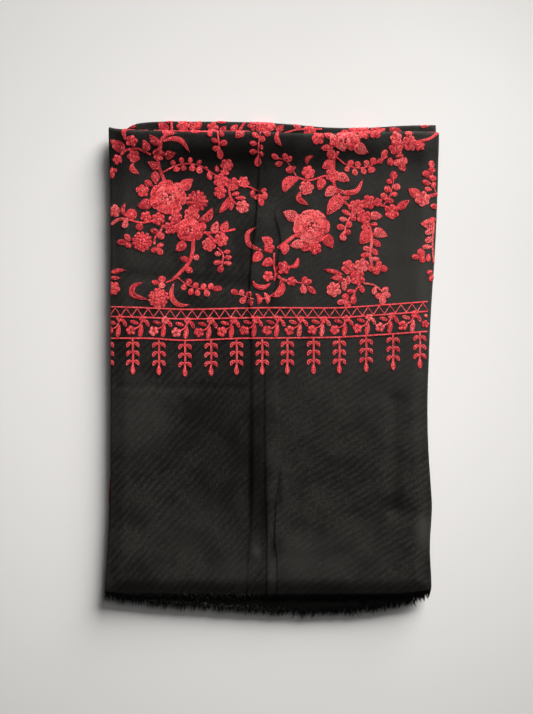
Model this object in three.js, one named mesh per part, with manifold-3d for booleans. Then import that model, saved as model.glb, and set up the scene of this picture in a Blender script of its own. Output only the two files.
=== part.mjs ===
// An embroidered pashmina shawl, folded for the shelf and lying on a table.
//
// The cloth is one piece, 700 mm wide and 2000 mm long, with a frayed edge at each short end. It is folded in half
// along its length and then twice across it, so four double layers lie on each other, 350 mm wide and about
// 500 mm long. From the top down, a first double layer ends in a frayed hem at the front, bends over the front fold
// at the back, comes forward again, bends, goes back, bends over the rear fold, and ends in the other frayed hem.
//
// Units are millimetres. +X is to the right, +Y goes from the frayed hem to the folds, and +Z is up. The shawl rests
// on Z = 0, and the origin is at the middle of its underside.
import * as THREE from "three";
import { mergeVertices } from "three/addons/utils/BufferGeometryUtils.js";
import Module from "manifold-3d";

// Driving dimensions.
const SHAWL_WIDTH = 700;
const FOLDED_WIDTH = SHAWL_WIDTH / 2;
const CLOTH = 1.2; // the wall's thickness: a fulled twill with its embroidery
const AIR = 0.6; // between two layers that lie on each other
const SEAM = 0.35; // between two pieces of one layer
const FOLD_ARM = 12; // how far a wall goes on past a fold, between other layers
const FRAY = 9; // length of the frayed ends
const ROLL_RISE = 1.6; // how far the front fold stands above the flat layers

// Heights that follow from them.
const PAIR = 2 * CLOTH + AIR; // a double layer
const PITCH = PAIR + AIR; // from one double layer to the next
const FLAT_TOP = 3 * PITCH + PAIR; // top of the first double layer
const SIDE_RADIUS = PAIR / 2; // outer radius of the fold along the left side
const REAR_RADIUS = (2 * PITCH - AIR) / 2; // outer radius of the rear fold, round two double layers
const FRONT_RADIUS = (FLAT_TOP + ROLL_RISE - 2 * PITCH) / 2; // and of the front fold
const HALF = FOLDED_WIDTH / 2;

// How far each side lies inside HALF, as the layers are not laid quite true. base is the lowest layer's left side.
const SIDES = [
  { y: -243, left: -2.4, right: 6.8, base: 0.5 },
  { y: -235, left: -1.0, right: 5.3, base: 1.0 },
  { y: -192, left: 2.0, right: 6.9, base: 2.4 },
  { y: -150, left: 4.2, right: 4.8, base: 2.6 },
  { y: -129, left: 4.8, right: 5.8, base: 2.8 },
  { y: -87, left: 5.3, right: 8.5, base: 6.5 },
  { y: -44, left: 5.5, right: 9.5, base: 7.0 },
  { y: -2, left: 5.5, right: 8.5, base: 7.0 },
  { y: 61, left: 5.5, right: 5.8, base: 7.0 },
  { y: 125, left: 5.5, right: 1.6, base: 6.8 },
  { y: 188, left: 5.3, right: -1.1, base: 6.5 },
  { y: 230, left: 3.7, right: -2.1, base: 7.5 },
  { y: 256, left: 3.0, right: -2.6, base: 9.0 },
];

// The frayed ends and the folds across the cloth. front is the upper hem, twin the hem of the layer under it,
// base the hem of the lowest layers, fold the outside of the front fold, and rear that of the rear fold.
const ENDS = [
  { x: -178, front: -238.5, twin: -237.0, base: -236, fold: 256.5, rear: 246.0 },
  { x: -160, front: -240.0, twin: -241.0, base: -240, fold: 252.2, rear: 251.5 },
  { x: -140, front: -240.5, twin: -244.5, base: -243, fold: 250.6, rear: 260.4 },
  { x: -75, front: -240.8, twin: -250.0, base: -245, fold: 249.6, rear: 262.0 },
  { x: -15, front: -241.0, twin: -254.8, base: -246, fold: 249.0, rear: 261.2 },
  { x: 20, front: -241.0, twin: -256.0, base: -246, fold: 247.4, rear: 259.2 },
  { x: 60, front: -241.0, twin: -255.8, base: -246, fold: 246.9, rear: 255.8 },
  { x: 100, front: -241.0, twin: -253.0, base: -245, fold: 248.4, rear: 255.4 },
  { x: 140, front: -240.0, twin: -246.0, base: -242, fold: 249.0, rear: 257.6 },
  { x: 178, front: -235.5, twin: -236.5, base: -236, fold: 249.0, rear: 258.4 },
];

// The creases of the middle fold, where the cloth was once folded in half again. Each steps up to the right over
// its foot, reaches its rise at x, and comes down slowly over CREASE_FADE.
const CREASE_FADE = 15;
const MAIN_CREASE = [
  { y: -243, x: -24.3, rise: 0.4, foot: 2.0 },
  { y: -204, x: -23.3, rise: 0.5, foot: 2.0 },
  { y: -172, x: -20.0, rise: 0.9, foot: 4.0 },
  { y: -140, x: -18.0, rise: 2.4, foot: 6.5 },
  { y: -66, x: -17.4, rise: 2.3, foot: 6.5 },
  { y: 3, x: -18.0, rise: 1.2, foot: 5.0 },
  { y: 29, x: -19.6, rise: 1.2, foot: 3.0 },
  { y: 61, x: -21.7, rise: 1.7, foot: 1.7 },
  { y: 82, x: -22.2, rise: 2.0, foot: 1.6 },
  { y: 103, x: -21.0, rise: 2.2, foot: 1.6 },
  { y: 140, x: -16.9, rise: 2.2, foot: 1.6 },
  { y: 188, x: -13.2, rise: 1.8, foot: 1.6 },
  { y: 219, x: -10.9, rise: 1.4, foot: 1.8 },
  { y: 250, x: -10.0, rise: 0.6, foot: 2.0 },
];
const INNER_CREASE = [
  { y: -243, x: -4.2, rise: 1.0, foot: 1.4 },
  { y: -188, x: -3.7, rise: 1.0, foot: 1.5 },
  { y: -172, x: -3.2, rise: 1.6, foot: 3.0 },
  { y: -119, x: -3.7, rise: 1.8, foot: 4.5 },
  { y: -66, x: -4.8, rise: 1.2, foot: 3.5 },
  { y: 3, x: -5.8, rise: 0.6, foot: 1.4 },
  { y: 30, x: -6.6, rise: 0.3, foot: 1.4 },
  { y: 45, x: -7.0, rise: 0.0, foot: 1.4 },
  { y: 250, x: -7.0, rise: 0.0, foot: 1.4 },
];
const RIGHT_CREASE = [
  { y: -243, x: 7.0, rise: 0.7, foot: 1.2 },
  { y: -200, x: 6.6, rise: 0.8, foot: 1.2 },
  { y: -184, x: 4.6, rise: 1.2, foot: 1.6 },
  { y: -140, x: 6.4, rise: 1.2, foot: 2.0 },
  { y: -119, x: 10.2, rise: 0.9, foot: 2.4 },
  { y: -100, x: 11.5, rise: 0.0, foot: 2.4 },
  { y: 60, x: 1.0, rise: 0.0, foot: 1.5 },
  { y: 72, x: 1.4, rise: 1.0, foot: 1.5 },
  { y: 83, x: 5.3, rise: 1.3, foot: 1.5 },
  { y: 100, x: 8.4, rise: 1.4, foot: 1.5 },
  { y: 112, x: 7.6, rise: 1.4, foot: 1.5 },
  { y: 134, x: 10.6, rise: 1.4, foot: 1.6 },
  { y: 157, x: 5.8, rise: 0.9, foot: 1.8 },
  { y: 172, x: 4.5, rise: 0.0, foot: 1.8 },
  { y: 250, x: 4.5, rise: 0.0, foot: 1.8 },
];

// Soft troughs in the upper panel, each along a line, with its half width and its depth below the loft. A depth under
// zero is a soft ridge.
const LOFT = 2.6; // how far the panel puffs up between its troughs
const LOFT_EDGE = 18; // and over how wide a margin it comes down to its sides
const TROUGHS = [
  { x0: -176, y0: 238, x1: -120, y1: 215, width: 14, depth: 1.9 },
  { x0: -120, y0: 215, x1: 95, y1: 214, width: 15, depth: 2.4 },
  { x0: 150, y0: 215, x1: 128, y1: 165, width: 9, depth: 0.9 },
  { x0: 128, y0: 165, x1: 135, y1: 110, width: 12, depth: 0.6 },
  { x0: -150, y0: 96, x1: -26, y1: 86, width: 8, depth: 1.1 },
  { x0: -166, y0: -20, x1: -25, y1: -22, width: 4, depth: 0.5 },
  { x0: 130, y0: -35, x1: 131, y1: -150, width: 8, depth: 1.2 },
  { x0: 131, y0: -150, x1: 165, y1: -158, width: 9, depth: 0.9 },
  { x0: 88, y0: -118, x1: 124, y1: -150, width: 13, depth: 0.7 },
  { x0: 30, y0: -192, x1: 75, y1: -186, width: 9, depth: -0.6 },
];

const CLOTH_COLOUR = 0x24221f;
const THREAD_COLOUR = 0xd24648;
const cloth = () => new THREE.MeshStandardMaterial({ color: CLOTH_COLOUR, roughness: 0.85, metalness: 0 });
const fray = () => new THREE.MeshStandardMaterial({ color: CLOTH_COLOUR, roughness: 0.95, metalness: 0 });

const wasm = await Module();
wasm.setup();

// A column of a table at a place between its rows, on a smooth curve through them.
function along(table, key, column, at) {
  const last = table.length - 1;
  const place = THREE.MathUtils.clamp(at, table[0][key], table[last][key]);
  let i = 0;
  while (i < last - 1 && place > table[i + 1][key]) i++;
  const [a, b] = [table[i], table[i + 1]];
  const slopeAt = (k) => {
    const [before, after] = [table[Math.max(k - 1, 0)], table[Math.min(k + 1, last)]];
    return (after[column] - before[column]) / (after[key] - before[key]);
  };
  const span = b[key] - a[key];
  const t = (place - a[key]) / span;
  const ease = t * t * (3 - 2 * t);
  const bow = t * (1 - t) * span * (slopeAt(i) * (1 - t) - slopeAt(i + 1) * t);
  return a[column] + (b[column] - a[column]) * ease + bow;
}

const leftSide = (y) => -HALF + along(SIDES, "y", "left", y);
const rightSide = (y) => HALF - along(SIDES, "y", "right", y);
const baseSide = (y) => -HALF + along(SIDES, "y", "base", y);
const end = (name) => (x) => along(ENDS, "x", name, x);
const creased = (crease, name) => (y) => along(crease, "y", name, y);
const { lerp, smoothstep } = THREE.MathUtils;

// How far the upper panel stands above the flat layers at a place, from its loft, its troughs and its creases.
function relief(x, y) {
  const inside = Math.min(x - leftSide(y), rightSide(y) - x, y - end("front")(x));
  let high = LOFT * smoothstep(inside, 0, LOFT_EDGE);
  for (const { x0, y0, x1, y1, width, depth } of TROUGHS) {
    const [dx, dy] = [x1 - x0, y1 - y0];
    const t = THREE.MathUtils.clamp(((x - x0) * dx + (y - y0) * dy) / (dx * dx + dy * dy), 0, 1);
    const away = Math.hypot(x - x0 - t * dx, y - y0 - t * dy);
    high -= depth * Math.exp(-((away / width) ** 2));
  }
  for (const crease of [MAIN_CREASE, INNER_CREASE, RIGHT_CREASE]) {
    const right = x - creased(crease, "x")(y);
    const step = smoothstep(right, -creased(crease, "foot")(y), 0);
    high += creased(crease, "rise")(y) * step * Math.exp(-((Math.max(right, 0) / CREASE_FADE) ** 2));
  }
  return Math.max(0, high);
}

// The way a double layer's outer face goes, in the YZ plane: flat from its hem to its fold, round the fold, and back.
// up is +1 where that face looks up on the flat stretch and -1 where it looks down. A station is a share of the flat
// stretch, an angle on the fold or a distance back from it.
function pathPoint(path, station, x) {
  const { hem, fold, radius, up, foldTop, level } = path;
  const centre = fold(x) - radius;
  if (station.part === "flat") {
    const y = lerp(hem(x), centre, station.at);
    return { y, z: level(y), normal: [0, up] };
  }
  if (station.part === "arc") {
    const [c, s] = [Math.cos(station.at), Math.sin(station.at)];
    return { y: centre + radius * c, z: foldTop - up * radius * (1 - s), normal: [c, up * s] };
  }
  return { y: centre - station.at, z: foldTop - 2 * up * radius, normal: [0, -up] };
}

const flat = (at) => ({ part: "flat", at });
const spread = (n, from = 0, to = 1) => Array.from({ length: n }, (_, i) => lerp(from, to, i / (n - 1)));
const foldStations = (steps) => [
  ...spread(steps + 1, Math.PI / 2, -Math.PI / 2).map((at) => ({ part: "arc", at })),
  { part: "back", at: FOLD_ARM },
];

// The upper face rises towards the front fold, whose loop is thicker than the flat layers.
const frontLevel = (y) => FLAT_TOP + ROLL_RISE * smoothstep(y, 214, 240);
const FRONT_PATH = {
  hem: end("front"),
  fold: end("fold"),
  radius: FRONT_RADIUS,
  up: 1,
  foldTop: FLAT_TOP + ROLL_RISE,
  level: frontLevel,
};
// The layer under the front panel follows it, and its hem hangs down a little past the layers that carry it.
const TWIN_DROOP = 3.0;
const TWIN_PATH = {
  ...FRONT_PATH,
  hem: end("twin"),
  level: (y) => frontLevel(y) - TWIN_DROOP * smoothstep(-y, 234, 262),
};
const BASE_PATH = { hem: end("base"), fold: end("rear"), radius: REAR_RADIUS, up: -1, foldTop: 0, level: () => 0 };

// A closed wall over a grid of columns and rows. pointAt gives the outer point with face 0 and the inner with face 1.
function wallGeometry(columns, rows, pointAt) {
  const points = [];
  const index = [];
  const at = (i, j, face) => (face * rows + j) * columns + i;
  for (let face = 0; face < 2; face++)
    for (let j = 0; j < rows; j++) for (let i = 0; i < columns; i++) points.push(pointAt(i, j, face));
  const quad = (a, b, c, d) => index.push(a, b, c, a, c, d);
  for (let j = 0; j < rows - 1; j++)
    for (let i = 0; i < columns - 1; i++) {
      quad(at(i, j, 0), at(i + 1, j, 0), at(i + 1, j + 1, 0), at(i, j + 1, 0));
      quad(at(i, j, 1), at(i, j + 1, 1), at(i + 1, j + 1, 1), at(i + 1, j, 1));
    }
  for (let i = 0; i < columns - 1; i++) {
    quad(at(i, 0, 1), at(i + 1, 0, 1), at(i + 1, 0, 0), at(i, 0, 0));
    quad(at(i, rows - 1, 0), at(i + 1, rows - 1, 0), at(i + 1, rows - 1, 1), at(i, rows - 1, 1));
  }
  for (let j = 0; j < rows - 1; j++) {
    quad(at(0, j, 1), at(0, j, 0), at(0, j + 1, 0), at(0, j + 1, 1));
    quad(at(columns - 1, j, 0), at(columns - 1, j, 1), at(columns - 1, j + 1, 1), at(columns - 1, j + 1, 0));
  }
  return closedGeometry(points, index);
}

// A geometry from points and triangles, turned so that its faces look out.
function closedGeometry(points, index) {
  let volume = 0;
  for (let i = 0; i < index.length; i += 3) {
    const [a, b, c] = [points[index[i]], points[index[i + 1]], points[index[i + 2]]];
    volume += a.dot(new THREE.Vector3().crossVectors(b, c));
  }
  if (volume < 0) index.reverse();
  const geometry = new THREE.BufferGeometry().setFromPoints(points).setIndex(index);
  geometry.computeVertexNormals();
  return geometry;
}

function part(name, geometry, material) {
  const mesh = new THREE.Mesh(geometry, material);
  mesh.name = name;
  return mesh;
}

// A wall that follows a path. Each column gives its place across and its distance in from the path's face.
function sweptWall(path, columns, stations, bump = () => 0) {
  return wallGeometry(columns.length, stations.length, (i, j, face) => {
    const rough = pathPoint(path, stations[j], 0);
    const { x } = columns[i](rough.y, face);
    const { y, z, normal } = pathPoint(path, stations[j], x);
    const column = columns[i](y, face);
    const out = column.out + (column.lies ? bump(column.x, y, stations[j]) : 0);
    return new THREE.Vector3(column.x, y + normal[0] * out, z + normal[1] * out);
  });
}

// The columns of a double layer's left side: a short arm of the other layer and the fold round it.
function sideColumns(side, steps) {
  const arm = (distance) => (y, face) => ({
    x: side(y) + SIDE_RADIUS + distance,
    out: face ? CLOTH - PAIR : -PAIR,
  });
  const bend = (angle) => (y, face) => {
    const radius = face ? SIDE_RADIUS - CLOTH : SIDE_RADIUS;
    return {
      x: side(y) + SIDE_RADIUS - radius * Math.cos(angle),
      out: radius * Math.sin(angle) - SIDE_RADIUS,
    };
  };
  return [arm(FOLD_ARM), ...spread(steps + 1, -Math.PI / 2, Math.PI / 2).map(bend)];
}

const lying = (xAt, depth = 0) => (y, face) => ({ x: xAt(y), out: -depth - (face ? CLOTH : 0), lies: true });
const sideStart = (side) => (y) => side(y) + SIDE_RADIUS;

// The upper panel. Its columns crowd at the middle creases, and its rows at the troughs and the fold.
function frontPanel() {
  const start = sideStart(leftSide);
  const crest = creased(MAIN_CREASE, "x");
  const foot = (y) => crest(y) - creased(MAIN_CREASE, "foot")(y);
  const innerCrest = creased(INNER_CREASE, "x");
  const innerFoot = (y) => innerCrest(y) - creased(INNER_CREASE, "foot")(y);
  const rightCrest = creased(RIGHT_CREASE, "x");
  const rightFoot = (y) => rightCrest(y) - creased(RIGHT_CREASE, "foot")(y);
  const past = () => 18;
  const between = (a, b) => (share) => lying((y) => lerp(a(y), b(y), share));
  const columns = [
    ...sideColumns(leftSide, 4),
    ...[0.05, 0.12, 0.25, 0.4, 0.55, 0.7, 0.82, 0.9, 0.95].map(between(start, foot)),
    lying(foot),
    lying(crest),
    between(crest, innerFoot)(0.5),
    lying(innerFoot),
    lying(innerCrest),
    lying(rightFoot),
    lying(rightCrest),
    between(rightCrest, past)(0.5),
    lying(past),
    ...[0.06, 0.14, 0.27, 0.4, 0.53, 0.65, 0.73, 0.79, 0.87, 0.95, 1].map(between(past, rightSide)),
  ];
  const stations = [
    ...[0, 0.012, 0.03, 0.06, 0.1, 0.13, 0.155, 0.19, 0.23, 0.28, 0.33, 0.38].map(flat),
    ...[0.43, 0.45, 0.47, 0.52, 0.57, 0.62, 0.655, 0.68, 0.705, 0.74, 0.78].map(flat),
    ...[0.82, 0.86, 0.895, 0.92, 0.945, 0.965, 0.985].map(flat),
    ...foldStations(6),
  ];
  const bump = (x, y, station) => {
    if (station.part === "flat") return relief(x, y);
    if (station.part === "back") return 0;
    return relief(x, y) * smoothstep(station.at, 0, Math.PI / 2);
  };
  return part("front_panel", sweptWall(FRONT_PATH, columns, stations, bump), cloth());
}

// The other half of the same end, folded under the upper panel along the left side.
function twinPanel() {
  const start = (y) => leftSide(y) + SIDE_RADIUS + FOLD_ARM + 3 * SEAM;
  const stop = (y) => rightSide(y) - 1.4;
  const columns = spread(17).map((share) => lying((y) => lerp(start(y), stop(y), share), CLOTH + AIR));
  const stations = [
    ...[0, 0.01, 0.02, 0.03, 0.045, 0.1, 0.2, 0.4, 0.6, 0.8, 0.92, 0.945, 0.965, 0.985].map(flat),
    ...foldStations(6),
  ];
  return part("twin_panel", sweptWall(TWIN_PATH, columns, stations), cloth());
}

// The lowest layer, face down on the table, and the rear fold that shows behind the front one.
function basePanel() {
  const stop = (y) => rightSide(y) - 2.2;
  const across = (share) => lying((y) => lerp(sideStart(baseSide)(y), stop(y), share));
  const columns = [
    ...sideColumns(baseSide, 4),
    ...[0.03, 0.06, 0.09].map(across),
    ...spread(15, 0.13, 1).map(across),
  ];
  const stations = [...[0, 0.05, 0.15, 0.22, 0.3, 0.4, 0.55, 0.7, 0.82, 0.91, 0.96].map(flat), ...foldStations(6)];
  return part("base_panel", sweptWall(BASE_PATH, columns, stations), cloth());
}

// The hidden layers in one solid: three double layers whose folds round off the left side, whose edges show one by
// one on the right, and whose middle fold rounds off the front.
function innerLayers() {
  // A ring goes round a unit square with cut corners, with close points near the folds on its two long sides.
  const ACROSS = spread(16, 0.02, 0.98);
  const ALONG = [...spread(12, 0.02, 0.88), 0.93, 0.945, 0.955, 0.98];
  const RING = 2 * (ACROSS.length + ALONG.length);
  const GROOVE = 1.6;
  const bottom = CLOTH + SEAM;
  const top = 3 * PITCH - AIR;
  const middleFold = { low: PITCH, high: top };
  const levels = [];
  for (let pair = 0; pair < 3; pair++)
    for (const angle of spread(7, -Math.PI / 2, Math.PI / 2)) {
      const z = pair * PITCH + SIDE_RADIUS * (1 + Math.sin(angle));
      if (z > bottom) levels.push({ z, pair, round: SIDE_RADIUS * (1 - Math.cos(angle)), split: angle === 0 });
      if (angle > 1.5 && pair < 2) levels.push({ z: z + AIR / 2, pair, round: GROOVE, split: true });
    }
  levels.unshift({ z: bottom, pair: 0, round: 0, split: false });

  const foldedArm = SIDE_RADIUS + FOLD_ARM + 3 * SEAM;
  const insets = ({ z, pair, round, split }) => {
    const left = pair === 0 ? foldedArm : 0.6 + 0.5 * pair + round;
    const right = 2.4 + 0.7 * Math.sin(2.3 * z) + (split ? GROOVE : 0);
    const half = (middleFold.high - middleFold.low) / 2;
    const h = THREE.MathUtils.clamp((z - middleFold.low) / half - 1, -1, 1);
    const front = z < middleFold.low ? 0.8 : 4 + half * (1 - Math.sqrt(1 - h * h));
    return { left, right, front };
  };
  // The solid fills the rear fold up to the wall's return, and above that it stops short of both folds' returns.
  const noseHigh = 2 * PITCH - AIR - CLOTH - SEAM;
  const backEnd = (z, x) => {
    if (z >= noseHigh) return end("fold")(x) - FRONT_RADIUS - FOLD_ARM - 2 * SEAM - 4;
    const half = (noseHigh - bottom) / 2;
    const h = THREE.MathUtils.clamp((z - bottom) / half - 1, -1, 1);
    return end("rear")(x) - CLOTH - 5 * SEAM - half * (1 - Math.sqrt(1 - h * h));
  };
  levels.push({ z: noseHigh - 0.01, pair: 1, round: 0.3, split: false });
  levels.push({ z: noseHigh, pair: 1, round: 0.3, split: false });
  levels.sort((a, b) => a.z - b.z);

  const square = [
    ...ACROSS.map((s) => [s, 0]),
    ...ALONG.map((s) => [1, s]),
    ...ACROSS.map((s) => [1 - s, 1]),
    ...ALONG.toReversed().map((s) => [0, s]),
  ];
  const points = [];
  const index = [];
  for (const level of levels) {
    const { left, right, front } = insets(level);
    const side = level.pair === 0 ? baseSide : leftSide;
    for (const [a, b] of square) {
      const roughY = lerp(-240, backEnd(level.z, 0), b);
      const inFold = level.z < noseHigh && b > 0.95;
      const start = Math.max(side(roughY), leftSide(roughY)) + (inFold ? foldedArm + 6 : left);
      const x = lerp(start, rightSide(roughY) - right, a);
      const hem = level.z < middleFold.low ? end("base")(x) : end("front")(x);
      points.push(new THREE.Vector3(x, lerp(hem + front, backEnd(level.z, x), b), level.z));
    }
  }
  for (let k = 0; k < levels.length - 1; k++)
    for (let i = 0; i < RING; i++) {
      const [a, b] = [k * RING + i, k * RING + ((i + 1) % RING)];
      index.push(a, b, b + RING, a, b + RING, a + RING);
    }
  for (const k of [0, levels.length - 1]) {
    const centre = points.length;
    points.push(new THREE.Vector3(0, 0, levels[k].z));
    for (let i = 0; i < RING; i++) {
      const [a, b] = [k * RING + i, k * RING + ((i + 1) % RING)];
      if (k) index.push(a, b, centre);
      else index.push(b, a, centre);
    }
  }
  return part("inner_layers", closedGeometry(points, index), cloth());
}

// Closed geometries to and from manifold-3d, which only joins them here.
function solid(geometry) {
  const bare = new THREE.BufferGeometry().setAttribute("position", geometry.getAttribute("position"));
  const merged = mergeVertices(bare.setIndex(geometry.index), 1e-4);
  const mesh = new wasm.Mesh({
    numProp: 3,
    vertProperties: merged.attributes.position.array,
    triVerts: new Uint32Array(merged.index.array),
  });
  return new wasm.Manifold(mesh);
}

function geometryOf(made) {
  const { vertProperties, triVerts } = made.getMesh();
  const geometry = new THREE.BufferGeometry();
  geometry.setAttribute("position", new THREE.BufferAttribute(vertProperties, 3));
  geometry.setIndex(new THREE.BufferAttribute(triVerts, 1));
  geometry.computeVertexNormals();
  return geometry;
}

// A repeatable scatter from 0 to 1.
const scatter = (n) => Math.abs((Math.sin(n * 12.9898) * 43758.5453) % 1);

// A frayed end: a narrow strip along the hem and the loose threads that stand out of it.
function frayedEnd(name, { path, depth, from, to, threads, length, fall }) {
  const STRIP = 1.5;
  const middle = (x) => {
    const { y, z } = pathPoint(path, flat(0), x);
    const lift = path === FRONT_PATH ? relief(x, y) : 0;
    return new THREE.Vector3(x, y - SEAM - STRIP / 2, z + path.up * (lift - depth - CLOTH / 2));
  };
  const stationX = spread(25, from, to);
  const strip = wallGeometry(stationX.length, 2, (i, j, face) => {
    const at = middle(stationX[i]);
    return at.add(new THREE.Vector3(0, (j - 0.5) * STRIP, (0.5 - face) * (CLOTH - 0.3)));
  });
  const pieces = [solid(strip)];
  for (let i = 0; i < threads; i++) {
    const share = (i + 0.5 + 0.5 * (scatter(i + length) - 0.5)) / threads;
    const root = middle(lerp(from + 1.2, to - 1.2, share));
    const reach = length * (0.6 + 0.4 * scatter(3 * i + 1));
    const lean = 1.4 * (scatter(7 * i + 2) - 0.5);
    const drop = fall * (0.6 + 0.4 * scatter(5 * i + 3));
    pieces.push(solid(threadGeometry(root, reach, lean, drop)));
  }
  return part(name, geometryOf(wasm.Manifold.union(pieces)), fray());
}

// One thread of three sides: it starts inside the strip, thins to a blunt tip, and falls as it goes.
function threadGeometry(root, reach, lean, drop) {
  const rings = [
    { along: 0.2, radius: 0.42, low: 0 },
    { along: -0.6 * reach, radius: 0.34, low: 0.35 },
    { along: -reach, radius: 0.16, low: 1 },
  ];
  const points = [];
  const index = [];
  rings.forEach(({ along: out, radius, low }, k) => {
    for (let s = 0; s < 3; s++) {
      const angle = Math.PI / 2 + (s * 2 * Math.PI) / 3;
      const sideways = (lean * -out) / reach + radius * Math.cos(angle);
      const height = -drop * low + radius * Math.sin(angle);
      points.push(new THREE.Vector3(root.x + sideways, root.y + out, root.z + height));
      if (k < rings.length - 1) {
        const [a, b] = [k * 3 + s, k * 3 + ((s + 1) % 3)];
        index.push(a, b, b + 3, a, b + 3, a + 3);
      }
    }
  });
  const last = 3 * (rings.length - 1);
  index.push(2, 1, 0, last, last + 1, last + 2);
  return closedGeometry(points, index);
}

const shawl = new THREE.Group();
shawl.name = "shawl";
shawl.add(
  frontPanel(),
  twinPanel(),
  innerLayers(),
  basePanel(),
  frayedEnd("front_fray", {
    path: FRONT_PATH,
    depth: 0,
    from: leftSide(-240) + SIDE_RADIUS,
    to: rightSide(-238) - 0.5,
    threads: 86,
    length: FRAY,
    fall: 1.4,
  }),
  frayedEnd("twin_fray", {
    path: TWIN_PATH,
    depth: CLOTH + AIR,
    from: leftSide(-240) + SIDE_RADIUS + FOLD_ARM + 1,
    to: rightSide(-238) - 2.4,
    threads: 84,
    length: 0.72 * FRAY,
    fall: 1.2,
  }),
  frayedEnd("base_fray", {
    path: BASE_PATH,
    depth: 0,
    from: baseSide(-240) + SIDE_RADIUS,
    to: rightSide(-238) - 3,
    threads: 70,
    length: 0.72 * FRAY,
    fall: 0,
  }),
);

export default shawl;
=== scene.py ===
"""A folded embroidered pashmina shawl: its cloth, frayed ends and chain-stitch embroidery on the frame."""

import math

import bpy
import numpy as np
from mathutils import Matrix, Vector


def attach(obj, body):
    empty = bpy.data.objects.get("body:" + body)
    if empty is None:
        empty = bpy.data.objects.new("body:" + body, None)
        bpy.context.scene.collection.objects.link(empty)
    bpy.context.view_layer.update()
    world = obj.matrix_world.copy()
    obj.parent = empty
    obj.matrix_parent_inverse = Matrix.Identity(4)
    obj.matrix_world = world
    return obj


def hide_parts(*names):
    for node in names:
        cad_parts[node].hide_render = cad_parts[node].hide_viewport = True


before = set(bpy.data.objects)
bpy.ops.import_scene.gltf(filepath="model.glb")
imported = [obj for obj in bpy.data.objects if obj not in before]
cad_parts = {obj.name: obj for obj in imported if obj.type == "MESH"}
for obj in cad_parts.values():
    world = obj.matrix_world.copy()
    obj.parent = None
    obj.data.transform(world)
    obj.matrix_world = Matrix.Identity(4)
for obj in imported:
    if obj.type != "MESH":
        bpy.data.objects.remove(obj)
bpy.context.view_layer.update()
rng = np.random.default_rng(7)
MM = 0.001

# ---------------------------------------------------------------- sizes, in millimetres, as in the solids
HALF = 175.0
CLOTH, AIR = 1.2, 0.6
PAIR = 2 * CLOTH + AIR
PITCH = PAIR + AIR
FLAT_TOP = 3 * PITCH + PAIR
ROLL_RISE = 1.6
SIDE_RADIUS = PAIR / 2
REAR_RADIUS = (2 * PITCH - AIR) / 2
FRONT_RADIUS = (FLAT_TOP + ROLL_RISE - 2 * PITCH) / 2
TWIN_DROOP = 3.0  # how far the twin layer sinks towards its hem
HEM_Y, CORNER_Y, CREST_Y = -240, -237, 250  # the upper hem, its right corner and the front fold, roughly
FOLD_ARM = 11  # how far a sheet goes on past a fold
THIN = 0.9  # the visible cloth's thickness
SILL = 0.28  # how high the embroidery's ground stands above the cloth

# y, left, right, base
SIDES = np.array([
    (-243, -2.4, 6.8, 0.5), (-235, -1, 5.3, 1), (-192, 2, 6.9, 2.4), (-150, 4.2, 4.8, 2.6),
    (-129, 4.8, 5.8, 2.8), (-87, 5.3, 8.5, 6.5), (-44, 5.5, 9.5, 7), (-2, 5.5, 8.5, 7),
    (61, 5.5, 5.8, 7), (125, 5.5, 1.6, 6.8), (188, 5.3, -1.1, 6.5), (230, 3.7, -2.1, 7.5),
    (256, 3, -2.6, 9),
], float)
# x, front, twin, base, fold, rear
ENDS = np.array([
    (-178, -238.5, -237, -236, 256.5, 246), (-160, -240, -241, -240, 252.2, 251.5),
    (-140, -240.5, -244.5, -243, 250.6, 260.4), (-75, -240.8, -250, -245, 249.6, 262),
    (-15, -241, -254.8, -246, 249, 261.2), (20, -241, -256, -246, 247.4, 259.2),
    (60, -241, -255.8, -246, 246.9, 255.8), (100, -241, -253, -245, 248.4, 255.4),
    (140, -240, -246, -242, 249, 257.6), (178, -235.5, -236.5, -236, 249, 258.4),
], float)
# Creases of the old middle fold. Each steps up to the right over its foot, and fades over FADE.
# y, x, rise, foot
CREASES = [
    np.array([
        (-243, -24.3, 0.4, 2), (-204, -23.3, 0.5, 2), (-172, -20, 0.9, 4), (-140, -18, 2.4, 6.5),
        (-66, -17.4, 2.3, 6.5), (3, -18, 1.2, 5), (29, -19.6, 1.2, 3), (61, -21.7, 1.7, 1.7),
        (82, -22.2, 2, 1.6), (103, -21, 2.2, 1.6), (124, -19, 2.2, 1.6), (140, -16.9, 2.2, 1.6),
        (161, -14.8, 2, 1.6), (188, -13.2, 1.8, 1.6), (219, -10.9, 1.4, 1.8), (250, -10, 0.6, 2),
    ], float),
    np.array([
        (-243, -4.2, 1, 1.4), (-188, -3.7, 1, 1.5), (-172, -3.2, 1.6, 3), (-119, -3.7, 1.8, 4.5),
        (-66, -4.8, 1.2, 3.5), (3, -5.8, 0.6, 1.4), (30, -6.6, 0.3, 1.4), (45, -7, 0, 1.4),
        (250, -7, 0, 1.4),
    ], float),
    np.array([
        (-243, 7, 0.7, 1.2), (-200, 6.6, 0.8, 1.2), (-184, 4.6, 1.2, 1.6), (-140, 6.4, 1.2, 2),
        (-119, 10.2, 0.9, 2.4), (-100, 11.5, 0, 2.4), (60, 1, 0, 1.5), (72, 1.4, 1, 1.5),
        (83, 5.3, 1.3, 1.5), (100, 8.4, 1.4, 1.5), (112, 7.6, 1.4, 1.5), (134, 10.6, 1.4, 1.6),
        (157, 5.8, 0.9, 1.8), (172, 4.5, 0, 1.8), (250, 4.5, 0, 1.8),
    ], float),
]
FADE = 15
MIDDLE = (-30, 16)  # the stretch of x with the creases
LOFT, LOFT_EDGE = 2.6, 18  # how high the upper panel swells, and how far from its edge it gets there
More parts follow.
